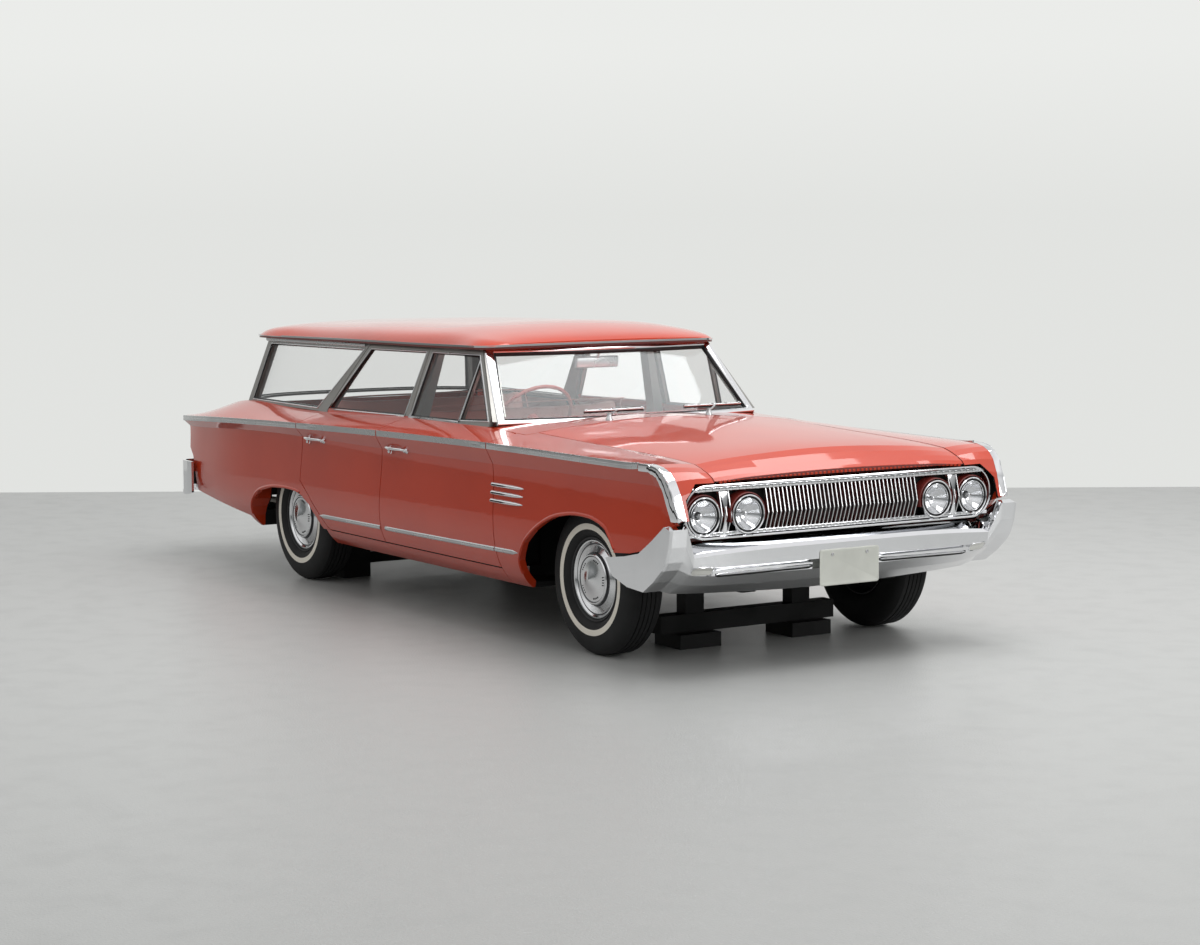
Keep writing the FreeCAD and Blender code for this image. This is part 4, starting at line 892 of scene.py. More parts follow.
for place, (x, y, side) in wheelFacts.items():
    hubCentre, outward = (x, y, tyreFacts["axle"]), (0, side, 0)
    bm = bmesh.new()
    made = addLathe(bm, tyreProfile() + [(0.1788, 0.0)], hubCentre, outward, tyreFacts["segments"])
    for row, following in zip(made, made[1:] + made[:1]):
        bm.faces.new((row[-1], row[0], following[0], following[-1]))
    low, high = tyreFacts["band"]
    for face in bm.faces:
        mid = face.calc_center_median()
        radius = math.hypot(mid.x - x, mid.z - tyreFacts["axle"])
        if low < radius < high and (mid.y - y) * side > 0.08:
            face.material_index = 1
    body = "wheel_" + place
    tyre = finishMesh(bm, "tyre_detail_" + place, [rubber, whitewall], body, 30.0)
    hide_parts("tyre_" + place)

    # Cover: fluted outer band, raised ring and a shallow cone with slots; its grooves get a dark finish and the
    # slots are dark blocks, both painted shade
    cover = [(0.0, 0.0985), (0.003, 0.0982), (0.040, 0.0865), (0.092, 0.0735), (0.0955, 0.0740),
             (0.100, 0.0768), (0.1045, 0.0768), (0.1085, 0.0735), (0.111, 0.0640)]
    for i in range(8):
        r = 0.1135 + 0.0042 * i
        cover += [(r, 0.0610 - 0.0006 * i), (r + 0.0022, 0.0622 - 0.0006 * i)]
    cover += [(0.1480, 0.0545), (0.1530, 0.0560), (0.1600, 0.0630), (0.1650, 0.0640), (0.1675, 0.0610),
              (0.1672, 0.0570), (0.1640, 0.0520), (0.1500, 0.0500)]
    bm = bmesh.new()
    addLathe(bm, cover, hubCentre, outward, 96)
    # Faces in the grooves take the dark finish: painted shade
    for face in bm.faces:
        mid = face.calc_center_median()
        radius = math.hypot(mid.x - x, mid.z - tyreFacts["axle"])
        if any(inner < radius < outer for inner, outer in shadedGrooveBands):
            face.material_index = 1
    shell = finishMesh(bm, "cover_detail_" + place, [coverMetal, coverGrooveShade], body, 24.0)
    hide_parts("cover_" + place)
    # Dark blocks where the slots open: painted shade
    bm = bmesh.new()
    for k in range(20):
        angle = 2.0 * math.pi * (k // 4) / 5.0 + (k % 4 - 1.5) * 0.135
        spot = Vector((x + 0.0815 * math.cos(angle), y + side * 0.0766,
                       tyreFacts["axle"] + 0.0815 * math.sin(angle)))
        spin = Matrix.Translation(spot) @ Matrix.Rotation(-angle, 4, "Y")
        addBox(bm, (-0.0035, -0.0012, -0.0022), (0.0035, 0.0012, 0.0022), 0.0008, spin)
    finishMesh(bm, "cover_slot_shade_" + place, blackSatin, body, 30.0)
    ringProfile = [(0.1690, 0.058), (0.1705, 0.0655), (0.1745, 0.0690), (0.1785, 0.0695), (0.1795, 0.0665),
                   (0.176, 0.0640), (0.1700, 0.0560)]
    bm = bmesh.new()
    addLathe(bm, ringProfile + ringProfile[:1], hubCentre, outward, 96)
    finishMesh(bm, "rim_edge_" + place, darkMetal, body)
print("scene: wheels")

# Headlamps: bright bezel, domed lens over a bowl, and a red hood round each; the hoods are darker red, painted
# shade, and a black ring in each bezel's groove is painted shade too
lampFacts = {"z": 0.647, "lens": 0.0610, "hood": 0.0835,
             "places": [(0.694, 2.377), (0.486, 2.392), (-0.486, 2.392), (-0.694, 2.377)]}
lensParts, bezelParts, bowlParts, hoodParts, grooveShadeParts = (bmesh.new() for _ in range(5))
for y, faceX in lampFacts["places"]:
    centre = (faceX, y, lampFacts["z"])
    axis = (1, 0, 0)
    bezel = [(0.0600, -0.020), (0.0608, 0.0010), (0.0625, 0.0026), (0.0645, 0.0010), (0.0655, -0.0060),
             (0.0690, -0.0090), (0.0715, -0.0050), (0.0730, 0.0035), (0.0762, 0.0060), (0.0790, 0.0045),
             (0.0800, 0.000), (0.0800, -0.030), (0.0770, -0.030), (0.0720, -0.020)]
    addLathe(bezelParts, bezel + bezel[:1], centre, axis, 72)
    # Black ring in the bezel's groove: painted shade
    addLathe(grooveShadeParts, [(0.0648, -0.0020), (0.0660, -0.0008), (0.0700, -0.0008), (0.0718, -0.0024)], centre,
             axis, 72)
    lens = []
    for r in span(lampFacts["lens"], 0.0, 13):
        lens.append((r, 0.0005 + 0.0095 * math.cos(r / lampFacts["lens"] * math.pi / 2.0)))
    addLathe(lensParts, [(lampFacts["lens"], -0.002)] + lens, centre, axis, 72)
    bowl = [((lampFacts["lens"] - 0.0005) * t, -0.046 + 0.042 * t ** 2) for t in span(0.0, 1.0, 13)]
    addLathe(bowlParts, bowl, centre, axis, 72)
    addLathe(bowlParts, [(0.0, -0.016), (0.008, -0.018), (0.010, -0.024), (0.009, -0.046)], centre, axis, 24)
    hoodAngles = [math.radians(degrees) for degrees in span(-20.0, 200.0, 41)]
    rows = []
    for px, grow in ((faceX - 0.052, 0.0), (faceX - 0.004, 0.0), (faceX - 0.0015, 0.0012),
                     (faceX - 0.004, 0.0045), (faceX - 0.052, 0.0085)):
        reach = lampFacts["hood"] + grow
        rows.append([(px, y + reach * math.cos(a), lampFacts["z"] + reach * math.sin(a)) for a in hoodAngles])
    addGrid(hoodParts, rows)
finishMesh(lensParts, "lamp_lenses", lampGlass, "body", 40.0)
bezels = finishMesh(bezelParts, "lamp_bezels", chrome, "body", 30.0)
finishMesh(bowlParts, "lamp_bowls", chrome, "body", 40.0)
# The hoods take the darkened red: painted shade inside them
finishMesh(hoodParts, "lamp_hoods", paintedShadeRed, "body", 40.0)
finishMesh(grooveShadeParts, "lamp_groove_shade", rubber, "body", 40.0)
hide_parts("headlamps")

# Fluted inner side of each lens
flutes = bmesh.new()
for y, faceX in lampFacts["places"]:
    for k in range(-9, 10):
        py = k * 0.0059
        half = math.sqrt(max(0.0, (lampFacts["lens"] - 0.005) ** 2 - py ** 2)) * 0.94
        rows = []
        for pz in span(-half, half, 9):
            r = math.hypot(py, pz)
            px = faceX + 0.0005 + 0.0088 * math.cos(min(1.0, r / lampFacts["lens"]) * math.pi / 2.0)
            rows.append([(px, y + py - 0.0005, lampFacts["z"] + pz), (px + 0.0007, y + py, lampFacts["z"] + pz),
                         (px, y + py + 0.0005, lampFacts["z"] + pz)])
        addGrid(flutes, rows)
finishMesh(flutes, "lamp_flutes", lampGlass, "body", 40.0)
print("scene: headlamps")

# Grille: frame, rails, thin slats with a chevron at mid-height, bright pieces between the lamps
grille = {"half": 0.792, "low": 0.553, "high": 0.775, "corner": 0.104, "mid": 0.647, "backX": 2.338,
          "frontX": 2.384, "span": 0.384, "count": 38, "thick": 0.0042, "apex": 2.3915, "edge": 2.366,
          "notches": 46, "notchSpan": 0.74, "between": 0.590, "bow": 0.094}


def roundedLoop(half, low, high, corner, x, perCorner=10):
    points = []
    for cy, cz, start in ((half - corner, high - corner, 0.0), (-half + corner, high - corner, 90.0),
                          (-half + corner, low + corner, 180.0), (half - corner, low + corner, 270.0)):
        for k in range(perCorner + 1):
            a = math.radians(start + 90.0 * k / perCorner)
            points.append((x, cy + corner * math.cos(a), cz + corner * math.sin(a)))
    return points


grilleHalf, grilleLow, grilleHigh, grilleCorner, grilleMid, grilleBack, grilleFront, grilleSpan = (
    grille[k] for k in ("half", "low", "high", "corner", "mid", "backX", "frontX", "span"))
bm = bmesh.new()
rows = []
for inset, x in ((0.0, grilleBack), (0.0, grilleFront - 0.004), (0.0015, grilleFront),
                 (0.0065, grilleFront + 0.0015), (0.0095, grilleFront - 0.001), (0.0100, grilleFront - 0.010),
                 (0.0100, grilleBack)):
    rows.append(roundedLoop(grilleHalf - inset, grilleLow + inset, grilleHigh - inset, grilleCorner - inset, x))
addGrid(bm, rows, closeRows=True, closeColumns=True)
frameObj = finishMesh(bm, "grille_frame", chrome, "body", 30.0)
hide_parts("grille")

# Rails with small notches, above and below the slats
bm = bmesh.new()
for z0, z1 in ((grilleHigh - 0.030, grilleHigh - 0.012), (grilleLow + 0.012, grilleLow + 0.028)):
    addBox(bm, (grilleBack, -0.780, z0), (grilleFront - 0.010, 0.780, z1), 0.003)
    for y in span(-grille["notchSpan"], grille["notchSpan"], grille["notches"]):
        addBox(bm, (grilleFront - 0.012, y - 0.0095, z0 + 0.002),
               (grilleFront - 0.0065, y + 0.0095, z1 - 0.003), 0.0015)
finishMesh(bm, "grille_rails", chrome, "body", 30.0)


# Thin bar folded at mid-height
def addSlat(bm, y, low, high):
    edge, apex, mid, half = grille["edge"], grille["apex"], grilleMid, grille["thick"] / 2.0
    profile = [(edge, high), (apex, mid), (edge, low), (edge - 0.020, low), (apex - 0.026, mid),
               (edge - 0.020, high)]
    front, rear = ([bm.verts.new((x, y + shift, z)) for x, z in profile] for shift in (half, -half))
    for ring, corners in ((front, (0, 1, 4, 5)), (front, (1, 2, 3, 4)), (rear, (1, 0, 5, 4)),
                          (rear, (2, 1, 4, 3))):
        bm.faces.new([ring[i] for i in corners])
    for i in range(len(profile)):
        j = (i + 1) % len(profile)
        bm.faces.new((front[j], front[i], rear[i], rear[j]))


bm = bmesh.new()
slatPlaces = span(-grilleSpan, grilleSpan, grille["count"])
for y in slatPlaces:
    addSlat(bm, y, grilleLow + 0.020, grilleHigh - 0.022)
for side in (1, -1):
    for shift in (-0.022, 0.0, 0.022):
        addSlat(bm, side * (grille["between"] + shift), grilleLow + 0.024, grilleHigh - 0.028)
finishMesh(bm, "grille_slats", satinMetal, "body", 20.0)

# Red strips between the slats, and the black grille back: the darker red and the black sheet are painted shade
# behind the slats
bm = bmesh.new()
for before, after in zip(slatPlaces, slatPlaces[1:]):
    y = (before + after) / 2.0
    addBox(bm, (grilleBack + 0.002, y - 0.0016, grilleLow + 0.02),
           (grilleBack + 0.020, y + 0.0016, grilleHigh - 0.02), 0.0005)
finishMesh(bm, "grille_fins", paintedShadeRed, "body", 30.0)
bm = bmesh.new()
rows = [roundedLoop(grilleHalf - 0.011, grilleLow + 0.011, grilleHigh - 0.011, grilleCorner - 0.011, x)
        for x in (2.3325, 2.3345)]
addTube(bm, rows)
finishMesh(bm, "grille_back", blackSatin, "body", 30.0)

# Bow-shaped bright piece between the two lamps of a pair
bm = bmesh.new()
for side in (1, -1):
    rows = []
    for z in span(grilleMid - grille["bow"], grilleMid + grille["bow"], 21):
        t = abs(z - grilleMid) / grille["bow"]
        half = 0.0065 + 0.022 * t ** 2
        x = 2.3855 - 0.016 * t ** 1.5
        y = side * grille["between"]
        rows.append([(x - 0.012, y - half, z), (x - 0.002, y - half * 0.8, z), (x + 0.001, y, z),
                     (x - 0.002, y + half * 0.8, z), (x - 0.012, y + half, z)])
    addGrid(bm, rows)
finishMesh(bm, "lamp_bows", chrome, "body", 40.0)
print("scene: grille")

# Notched dark strip under the hood's lip
notchFacts = {"count": 58, "face": 2.3812, "low": 0.7868, "half": 0.633, "tooth": 0.0062}
strip, teeth = bmesh.new(), bmesh.new()
rows = []
for y in span(-notchFacts["half"], notchFacts["half"], 41):
    high = (skinZ(notchFacts["face"] - 0.004, y) or 0.80) - 0.0035
    rows.append([(notchFacts["face"] - 0.001, y, high), (notchFacts["face"] + 0.0012, y, high - 0.001),
                 (notchFacts["face"] + 0.0012, y, notchFacts["low"]),
                 (notchFacts["face"] - 0.001, y, notchFacts["low"])])
addGrid(strip, rows)
for k in range(notchFacts["count"]):
    y = (k + 0.5 - notchFacts["count"] / 2.0) * 0.0216
    high = (skinZ(notchFacts["face"] - 0.004, y) or 0.80) - 0.0045
    addBox(teeth, (notchFacts["face"] - 0.001, y - notchFacts["tooth"], notchFacts["low"] - 0.0002),
           (notchFacts["face"] + 0.0035, y + notchFacts["tooth"], high - 0.006), 0.0012)
# The dark red strip under the lip is painted shade
finishMesh(strip, "hood_notch_strip", paintedShadeRed, "hood", 40.0)
finishMesh(teeth, "hood_notch_teeth", paint, "hood", 40.0)
print("scene: hood front strip")

# Front bumper: a dark strip round a rib, painted shadow, with park lamps, plate and bolts
bumperFacts = {"ribZ": 0.4165, "ribHalf": 0.0052, "spanIn": 0.172, "spanOut": 0.648, "shadowHigh": 0.4285,
               "shadowLow": 0.4035}
bumperTree = treeOf(["front_bumper"])


def bumperX(y, z):
    hit = strike(bumperTree, (2.60, y, z), (-1, 0, 0))
    return hit.x if hit else 2.40


# Dark strip above and below the rib: painted shadow
slot, rib = bmesh.new(), bmesh.new()
for side in (1, -1):
    rows, ribRows = [], []
    for t in span(0.0, 1.0, 25):
        y = side * (bumperFacts["spanIn"] + (bumperFacts["spanOut"] - bumperFacts["spanIn"]) * t)
        edge = min(1.0, min(t, 1.0 - t) / 0.04)
        high = bumperFacts["shadowHigh"] - 0.003 * t - 0.006 * (1.0 - edge)
        low = bumperFacts["shadowLow"] - 0.003 * t + 0.006 * (1.0 - edge)
        x = bumperX(y, 0.415)
        rows.append([(bumperX(y, high) - 0.001, y, high), (x + 0.0006, y, high - 0.003),
                     (x + 0.0006, y, low + 0.003), (bumperX(y, low) - 0.001, y, low)])
        mid = bumperFacts["ribZ"] - 0.003 * t
        half = bumperFacts["ribHalf"] * edge
        ribRows.append([(x - 0.002, y, mid + half), (x + 0.004, y, mid + half * 0.7), (x + 0.0062, y, mid),
                        (x + 0.004, y, mid - half * 0.7), (x - 0.002, y, mid - half)])
    addGrid(slot, rows)
    addGrid(rib, ribRows)
finishMesh(slot, "bumper_rib_shadow", blackSatin, "body", 30.0)
finishMesh(rib, "bumper_ribs", chrome, "body", 50.0)

parkFacts = {"y": 0.712, "z": 0.4295, "lean": 0.02, "rim": (0.046, 0.0165), "lens": (0.0452, 0.0157)}


def parkRing(side, halfY, halfZ, lift):
    ring = []
    for cy, cz in roundedRing(32, 0.45, halfY, halfZ):
        y, z = side * (parkFacts["y"] + cy), parkFacts["z"] + cz + parkFacts["lean"] * cy
        ring.append((bumperX(y, z) + lift, y, z))
    return ring


parkParts, parkRims = bmesh.new(), bmesh.new()
for side in (1, -1):
    rings = [parkRing(side, parkFacts["rim"][0] + grow, parkFacts["rim"][1] + grow, lift) for grow, lift in
             ((0.004, -0.003), (0.004, 0.0022), (0.0015, 0.0038), (-0.0015, 0.0022), (-0.002, -0.003))]
    addGrid(parkRims, rings, closeColumns=True)
    rings = [parkRing(side, parkFacts["lens"][0] * t, parkFacts["lens"][1] * t,
                      0.0012 + 0.0035 * (1.0 - t ** 3))
             for t in span(1.0, 0.0, 9)]
    addGrid(parkParts, rings, closeColumns=True)
finishMesh(parkParts, "park_lamp_lenses", clearLens, "body", 50.0)
finishMesh(parkRims, "park_lamp_rims", chrome, "body", 40.0)


# Blank number plate with a raised border, on two bolts
plateFacts = {"x": 2.4250, "low": 0.330, "high": 0.480, "half": 0.1525, "corner": 0.012, "boltY": 0.089,
              "boltZ": 0.458}
rows = []
for inset, lift in ((0.0, 0.0), (0.0, 0.0012), (0.004, 0.0022), (0.007, 0.0022), (0.010, 0.0012)):
    rows.append(roundedLoop(plateFacts["half"] - inset, plateFacts["low"] + inset, plateFacts["high"] - inset,
                            plateFacts["corner"] - inset * 0.6, plateFacts["x"] + lift, 6))
plate, bolts = bmesh.new(), bmesh.new()
addTube(plate, rows)
finishMesh(plate, "front_plate", plateMetal, "body", 40.0)
boltHead = [(0.0, -0.001), (0.0072, -0.001), (0.0072, 0.0028), (0.0055, 0.0042), (0.0, 0.0046)]
for side in (-1, 1):
    addLathe(bolts, boltHead, (plateFacts["x"] + 0.001, side * plateFacts["boltY"], plateFacts["boltZ"]),
             (1, 0, 0), 18)
finishMesh(bolts, "front_plate_bolts", satinMetal, "body", 30.0)
print("scene: bumper details and plate")

# Window edges: a bright bead round each pane on the outside, rubber inside it
windowPanes = {
    "front": ("door_front_{}", [(0.011, 0.903), (0.055, 1.198), (0.491, 1.203), (0.500, 1.188),
                                (0.457, 0.909)]),
    "vent": ("door_front_{}", [(0.475, 0.914), (0.513, 1.170), (0.712, 0.926)]),
    "rear": ("door_rear_{}", [(-0.838, 0.889), (-0.565, 1.190), (-0.009, 1.198), (-0.057, 0.903)]),
    "quarter": ("body", [(-1.742, 0.888), (-1.708, 1.172), (-0.650, 1.184), (-0.972, 0.886)]),
}


# How far out the window frames stand
def wallY(x, z):
    hit = strike(sideTree, (x, 1.2, z), (0, -1, 0))
    plane = glassAt("half", z) + 0.006
    if hit and abs(hit.y - plane) < 0.03:
        return hit.y
    return plane


# Outline moved outward and cut into short steps
def paneLoop(outline, grow):
    count = len(outline)
    cx = sum(p[0] for p in outline) / count
    cz = sum(p[1] for p in outline) / count
    moved = []
    for i in range(count):
        ax, az = outline[i - 1]
        bx, bz = outline[i]
        dx, dz = outline[(i + 1) % count]
        n1 = Vector((bz - az, ax - bx)).normalized()
        n2 = Vector((dz - bz, bx - dx)).normalized()
        if n1.dot(Vector((bx - cx, bz - cz))) < 0.0:
            n1 = -n1
        if n2.dot(Vector((bx - cx, bz - cz))) < 0.0:
            n2 = -n2
        shift = (n1 + n2) * (grow / (1.0 + n1.dot(n2)))
        moved.append((bx + shift.x, bz + shift.y))
    return cutEdges(moved, 10)


for paneName, (bodyName, outline) in windowPanes.items():
    for side, sideName in sideNames.items():
        bead, seal = bmesh.new(), bmesh.new()
        rows = []
        for grow, out in ((0.0008, -0.004), (0.0008, 0.0010), (0.0025, 0.0026), (0.0055, 0.0026),
                          (0.0075, 0.0008), (0.0075, -0.003)):
            rows.append([(x, side * (wallY(x, z) + out), z) for x, z in paneLoop(outline, grow)])
        addGrid(bead, rows, closeColumns=True)
        rows = []
        for grow, out in ((0.0006, -0.0012), (-0.0005, -0.0008), (-0.0042, -0.0065), (-0.0042, -0.0085)):
            rows.append([(x, side * (wallY(x, z) + out), z) for x, z in paneLoop(outline, grow)])
        addGrid(seal, rows, closeColumns=True)
        finishMesh(bead, "pane_bead_" + paneName + "_" + sideName, satinMetal, bodyName.format(sideName), 40.0)
        finishMesh(seal, "pane_seal_" + paneName + "_" + sideName, sealRubber, bodyName.format(sideName), 40.0)
print("scene: window edges")

# Wipers: pivot caps and blades over the CAD arms
wiperParts, wiperRubber = bmesh.new(), bmesh.new()
for y in (-0.272, 0.272):
    base = skinZ(1.021, y + 0.03) or 0.925
    boss = [(0.0, base - 0.004), (0.017, base - 0.004), (0.016, base + 0.006), (0.011, base + 0.014),
            (0.0095, base + 0.030), (0.0, base + 0.033)]
    addLathe(wiperParts, boss, (1.021, y, 0.0), (0, 0, 1), 24)
    for k in range(5):
        spot = y - 0.05 + 0.30 * k / 4.0
        addBox(wiperParts, (0.9005, spot - 0.006, 0.9585), (0.9095, spot + 0.006, 0.9705), 0.0015)
    addBox(wiperRubber, (0.9025, y - 0.062, 0.9515), (0.9075, y + 0.262, 0.9575), 0.0012)
finishMesh(wiperParts, "wiper_pivots", satinMetal, "body", 35.0)
finishMesh(wiperRubber, "wiper_rubbers", rubber, "body", 35.0)
print("scene: wipers")

# Seats: padded cushions and backs made by cloth, with pleats in the cover and piping along the edges
seatFacts = {
    "front_cushion": {"corners": [(-0.212, 0.452), (0.372, 0.452), (0.372, 0.556), (-0.10, 0.528)],
                      "half": 0.582, "cap": 0.014},
    "front_back": {"corners": [(-0.128, 0.560), (-0.222, 0.912), (-0.300, 0.898), (-0.258, 0.560)],
                   "half": 0.582, "cap": 0.013},
    "rear_cushion": {"corners": [(-1.030, 0.534), (-0.618, 0.534), (-0.618, 0.600), (-1.010, 0.588)],
                     "half": 0.558, "cap": 0.012},
    "rear_back": {"corners": [(-1.034, 0.598), (-1.122, 0.908), (-1.178, 0.898), (-1.172, 0.560)],
                  "half": 0.558, "cap": 0.012},
}
padFacts = {"voxel": 0.015, "pressure": 4.0, "frames": 20, "pleat": 0.052, "bolster": 0.075, "crown": 0.085}


# Vinyl sewn in upright pleats, darker in each crease: painted shade
def pleatMaterial():
    mat, tree, shader = newMaterial("VinylPleats")
    x, y, z, coord = objectAxes(tree)
    wave = calc(tree, calc(tree, y, "MULTIPLY", math.pi / padFacts["pleat"]), "SINE")
    pleatCrease = calc(tree, calc(tree, wave, "ABSOLUTE"), "POWER", 0.35)
    mask = addGroup(tree, smudgeGroup)
    cloth = mixColor(tree, mask, (0.33, 0.075, 0.06), (0.27, 0.06, 0.05))
    feed(tree, shader, {"Base Color": mixColor(tree, pleatCrease, (0.12, 0.02, 0.018), cloth), "Roughness": 0.45})
    addBump(tree, shader, pleatCrease, 0.9, 0.004)
    return mat


vinylPleats = pleatMaterial()


# The mesh of a piece with its modifiers worked in
def applied(obj):
    graph = bpy.context.evaluated_depsgraph_get()
    return bpy.data.meshes.new_from_object(obj.evaluated_get(graph))


# Cushion swollen by pressure from a slightly smaller block
def seatPad(name, facts):
    bm = bmesh.new()
    ends = []
    for y in (-facts["half"], facts["half"]):
        ends.append([bm.verts.new((x, y, z)) for x, z in facts["corners"]])
    count = len(facts["corners"])
    bm.faces.new(ends[0][::-1])
    bm.faces.new(ends[1])
    for k in range(count):
        m = (k + 1) % count
        bm.faces.new((ends[0][k], ends[0][m], ends[1][m], ends[1][k]))
    bmesh.ops.recalc_face_normals(bm, faces=bm.faces)
    bmesh.ops.bevel(bm, geom=bm.edges[:], offset=0.022, segments=3, profile=0.5, affect="EDGES")
    pad = finishMesh(bm, "seat_" + name, [vinylPleats, vinylPink], None, 80.0)
    remesh = pad.modifiers.new("Voxels", "REMESH")
    remesh.mode = "VOXEL"
    remesh.voxel_size = padFacts["voxel"]
    pad.data = applied(pad)
    pad.modifiers.clear()
    rest = [v.co.copy() for v in pad.data.vertices]
    cloth = pad.modifiers.new("Cloth", "CLOTH")
    cloth.settings.use_pressure = True
    cloth.settings.uniform_pressure_force = padFacts["pressure"]
    cloth.settings.effector_weights.gravity = 0.0
    cloth.point_cache.frame_end = padFacts["frames"]
    for frameNumber in range(1, padFacts["frames"] + 1):
        scene.frame_set(frameNumber)
    swollen = applied(pad)
    pad.modifiers.clear()
    pad.data = swollen
    for vert, start in zip(pad.data.vertices, rest):
        move = vert.co - start
        if move.length > facts["cap"]:
            vert.co = start + move.normalized() * facts["cap"]
    scene.frame_set(1)
    mesh = pad.data
    if len(mesh.materials) < 2:
        mesh.materials.clear()
        mesh.materials.append(vinylPleats)
        mesh.materials.append(vinylPink)
    top = max(v.co.z for v in mesh.vertices)
    for face in mesh.polygons:
        face.use_smooth = True
        centre = face.center
        bolster = abs(centre.y) > facts["half"] - padFacts["bolster"]
        crown = "back" in name and centre.z > top - padFacts["crown"]
        rear = "back" in name and face.normal.x < -0.35
        face.material_index = 1 if bolster or crown or rear else 0
    smoothing = pad.modifiers.new("Smooth", "SUBSURF")
    smoothing.levels = 1
    smoothing.render_levels = 1
    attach(pad, "body")
    return pad


pads = {name: seatPad(name, facts) for name, facts in seatFacts.items()}
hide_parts("front_seat")
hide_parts("rear_seat")
print("scene: seat pads")

# Seat frames, side shields and piping
seatFrame, piping = bmesh.new(), bmesh.new()
for y0, y1 in ((-0.52, -0.20), (0.20, 0.52)):
    addBox(seatFrame, (-0.200, y0, 0.2805), (0.320, y1, 0.410), 0.006)
addBox(seatFrame, (-0.225, -0.585, 0.406), (0.376, 0.585, 0.455), 0.012)
addBox(seatFrame, (-1.10, -0.56, 0.5185), (-0.612, 0.56, 0.540), 0.008)
for name in ("front_back", "rear_back"):
    facts = seatFacts[name]
    (ax, az), (bx, bz) = facts["corners"][:2]
    half = facts["half"] + 0.004
    loop = [(ax + 0.004, half, az + 0.02), (bx + 0.006, half, bz - 0.03), (bx + 0.004, half - 0.03, bz + 0.006),
            (bx + 0.004, 0.0, bz + 0.010)]
    whole = loop + [(x, -y, z) for x, y, z in loop[:-1][::-1]]
    addSweep(piping, smoothPath(whole, 8), circleSection(0.0042, 8))
finishMesh(seatFrame, "seat_frames", vinylDark, "body", 40.0)
finishMesh(piping, "seat_piping", vinylPink, "body", 60.0)
print("scene: seats")

# Cabin linings laid on the CAD walls: headliner, carpet, load floor and trim panels
liningFacts = {"roof": 0.004, "door": 0.003, "jump": 0.16, "doorSides": (0.60, 0.80)}


# Grid of points dropped on a wall. Cells that miss the wall are left out.
def liningPiece(name, tree, us, vs, cast, material, body):
    bm = bmesh.new()
    made = []
    for u in us:
        row = []
        for v in vs:
            spot = cast(tree, u, v)
            row.append(bm.verts.new(spot) if spot else None)
        made.append(row)
    for a, b in zip(made, made[1:]):
        for k in range(len(a) - 1):
            quad = (a[k], a[k + 1], b[k + 1], b[k])
            if None in quad:
                continue
            spread = max((p.co - q.co).length for p in quad for q in quad)
            if spread < liningFacts["jump"]:
                bm.faces.new(quad)
    return finishMesh(bm, name, material, body, 40.0)


def upCast(tree, x, y):
    hit = strike(tree, (x, y, 0.95), (0, 0, 1))
    return (x, y, hit.z - liningFacts["roof"]) if hit else None


def downCast(start, lift):
    def cast(tree, x, y):
        hit = strike(tree, (x, y, start), (0, 0, -1))
        return (x, y, hit.z + lift) if hit and hit.z > 0.2 else None
    return cast


def sideCast(side):
    low, high = liningFacts["doorSides"]

    def cast(tree, x, z):
        hit = strike(tree, (x, side * 0.3, z), (0, side, 0))
        return (x, hit.y - side * liningFacts["door"], z) if hit and low < abs(hit.y) < high else None
    return cast


liningPiece("headliner", treeOf(["roof"]), span(-1.78, 0.44, 46), span(-0.575, 0.575, 25), upCast, headliner,
            "body")
liningPiece("floor_carpet", treeOf(["underbody"]), span(-0.62, 0.985, 60), span(-0.635, 0.635, 50),
            downCast(0.43, 0.004), carpet, "body")
liningPiece("cargo_mat", treeOf(["cargo_floor"]), span(-2.20, -1.21, 30), span(-0.575, 0.575, 30),
            downCast(0.80, 0.003), carpet, "body")
print("scene: linings")

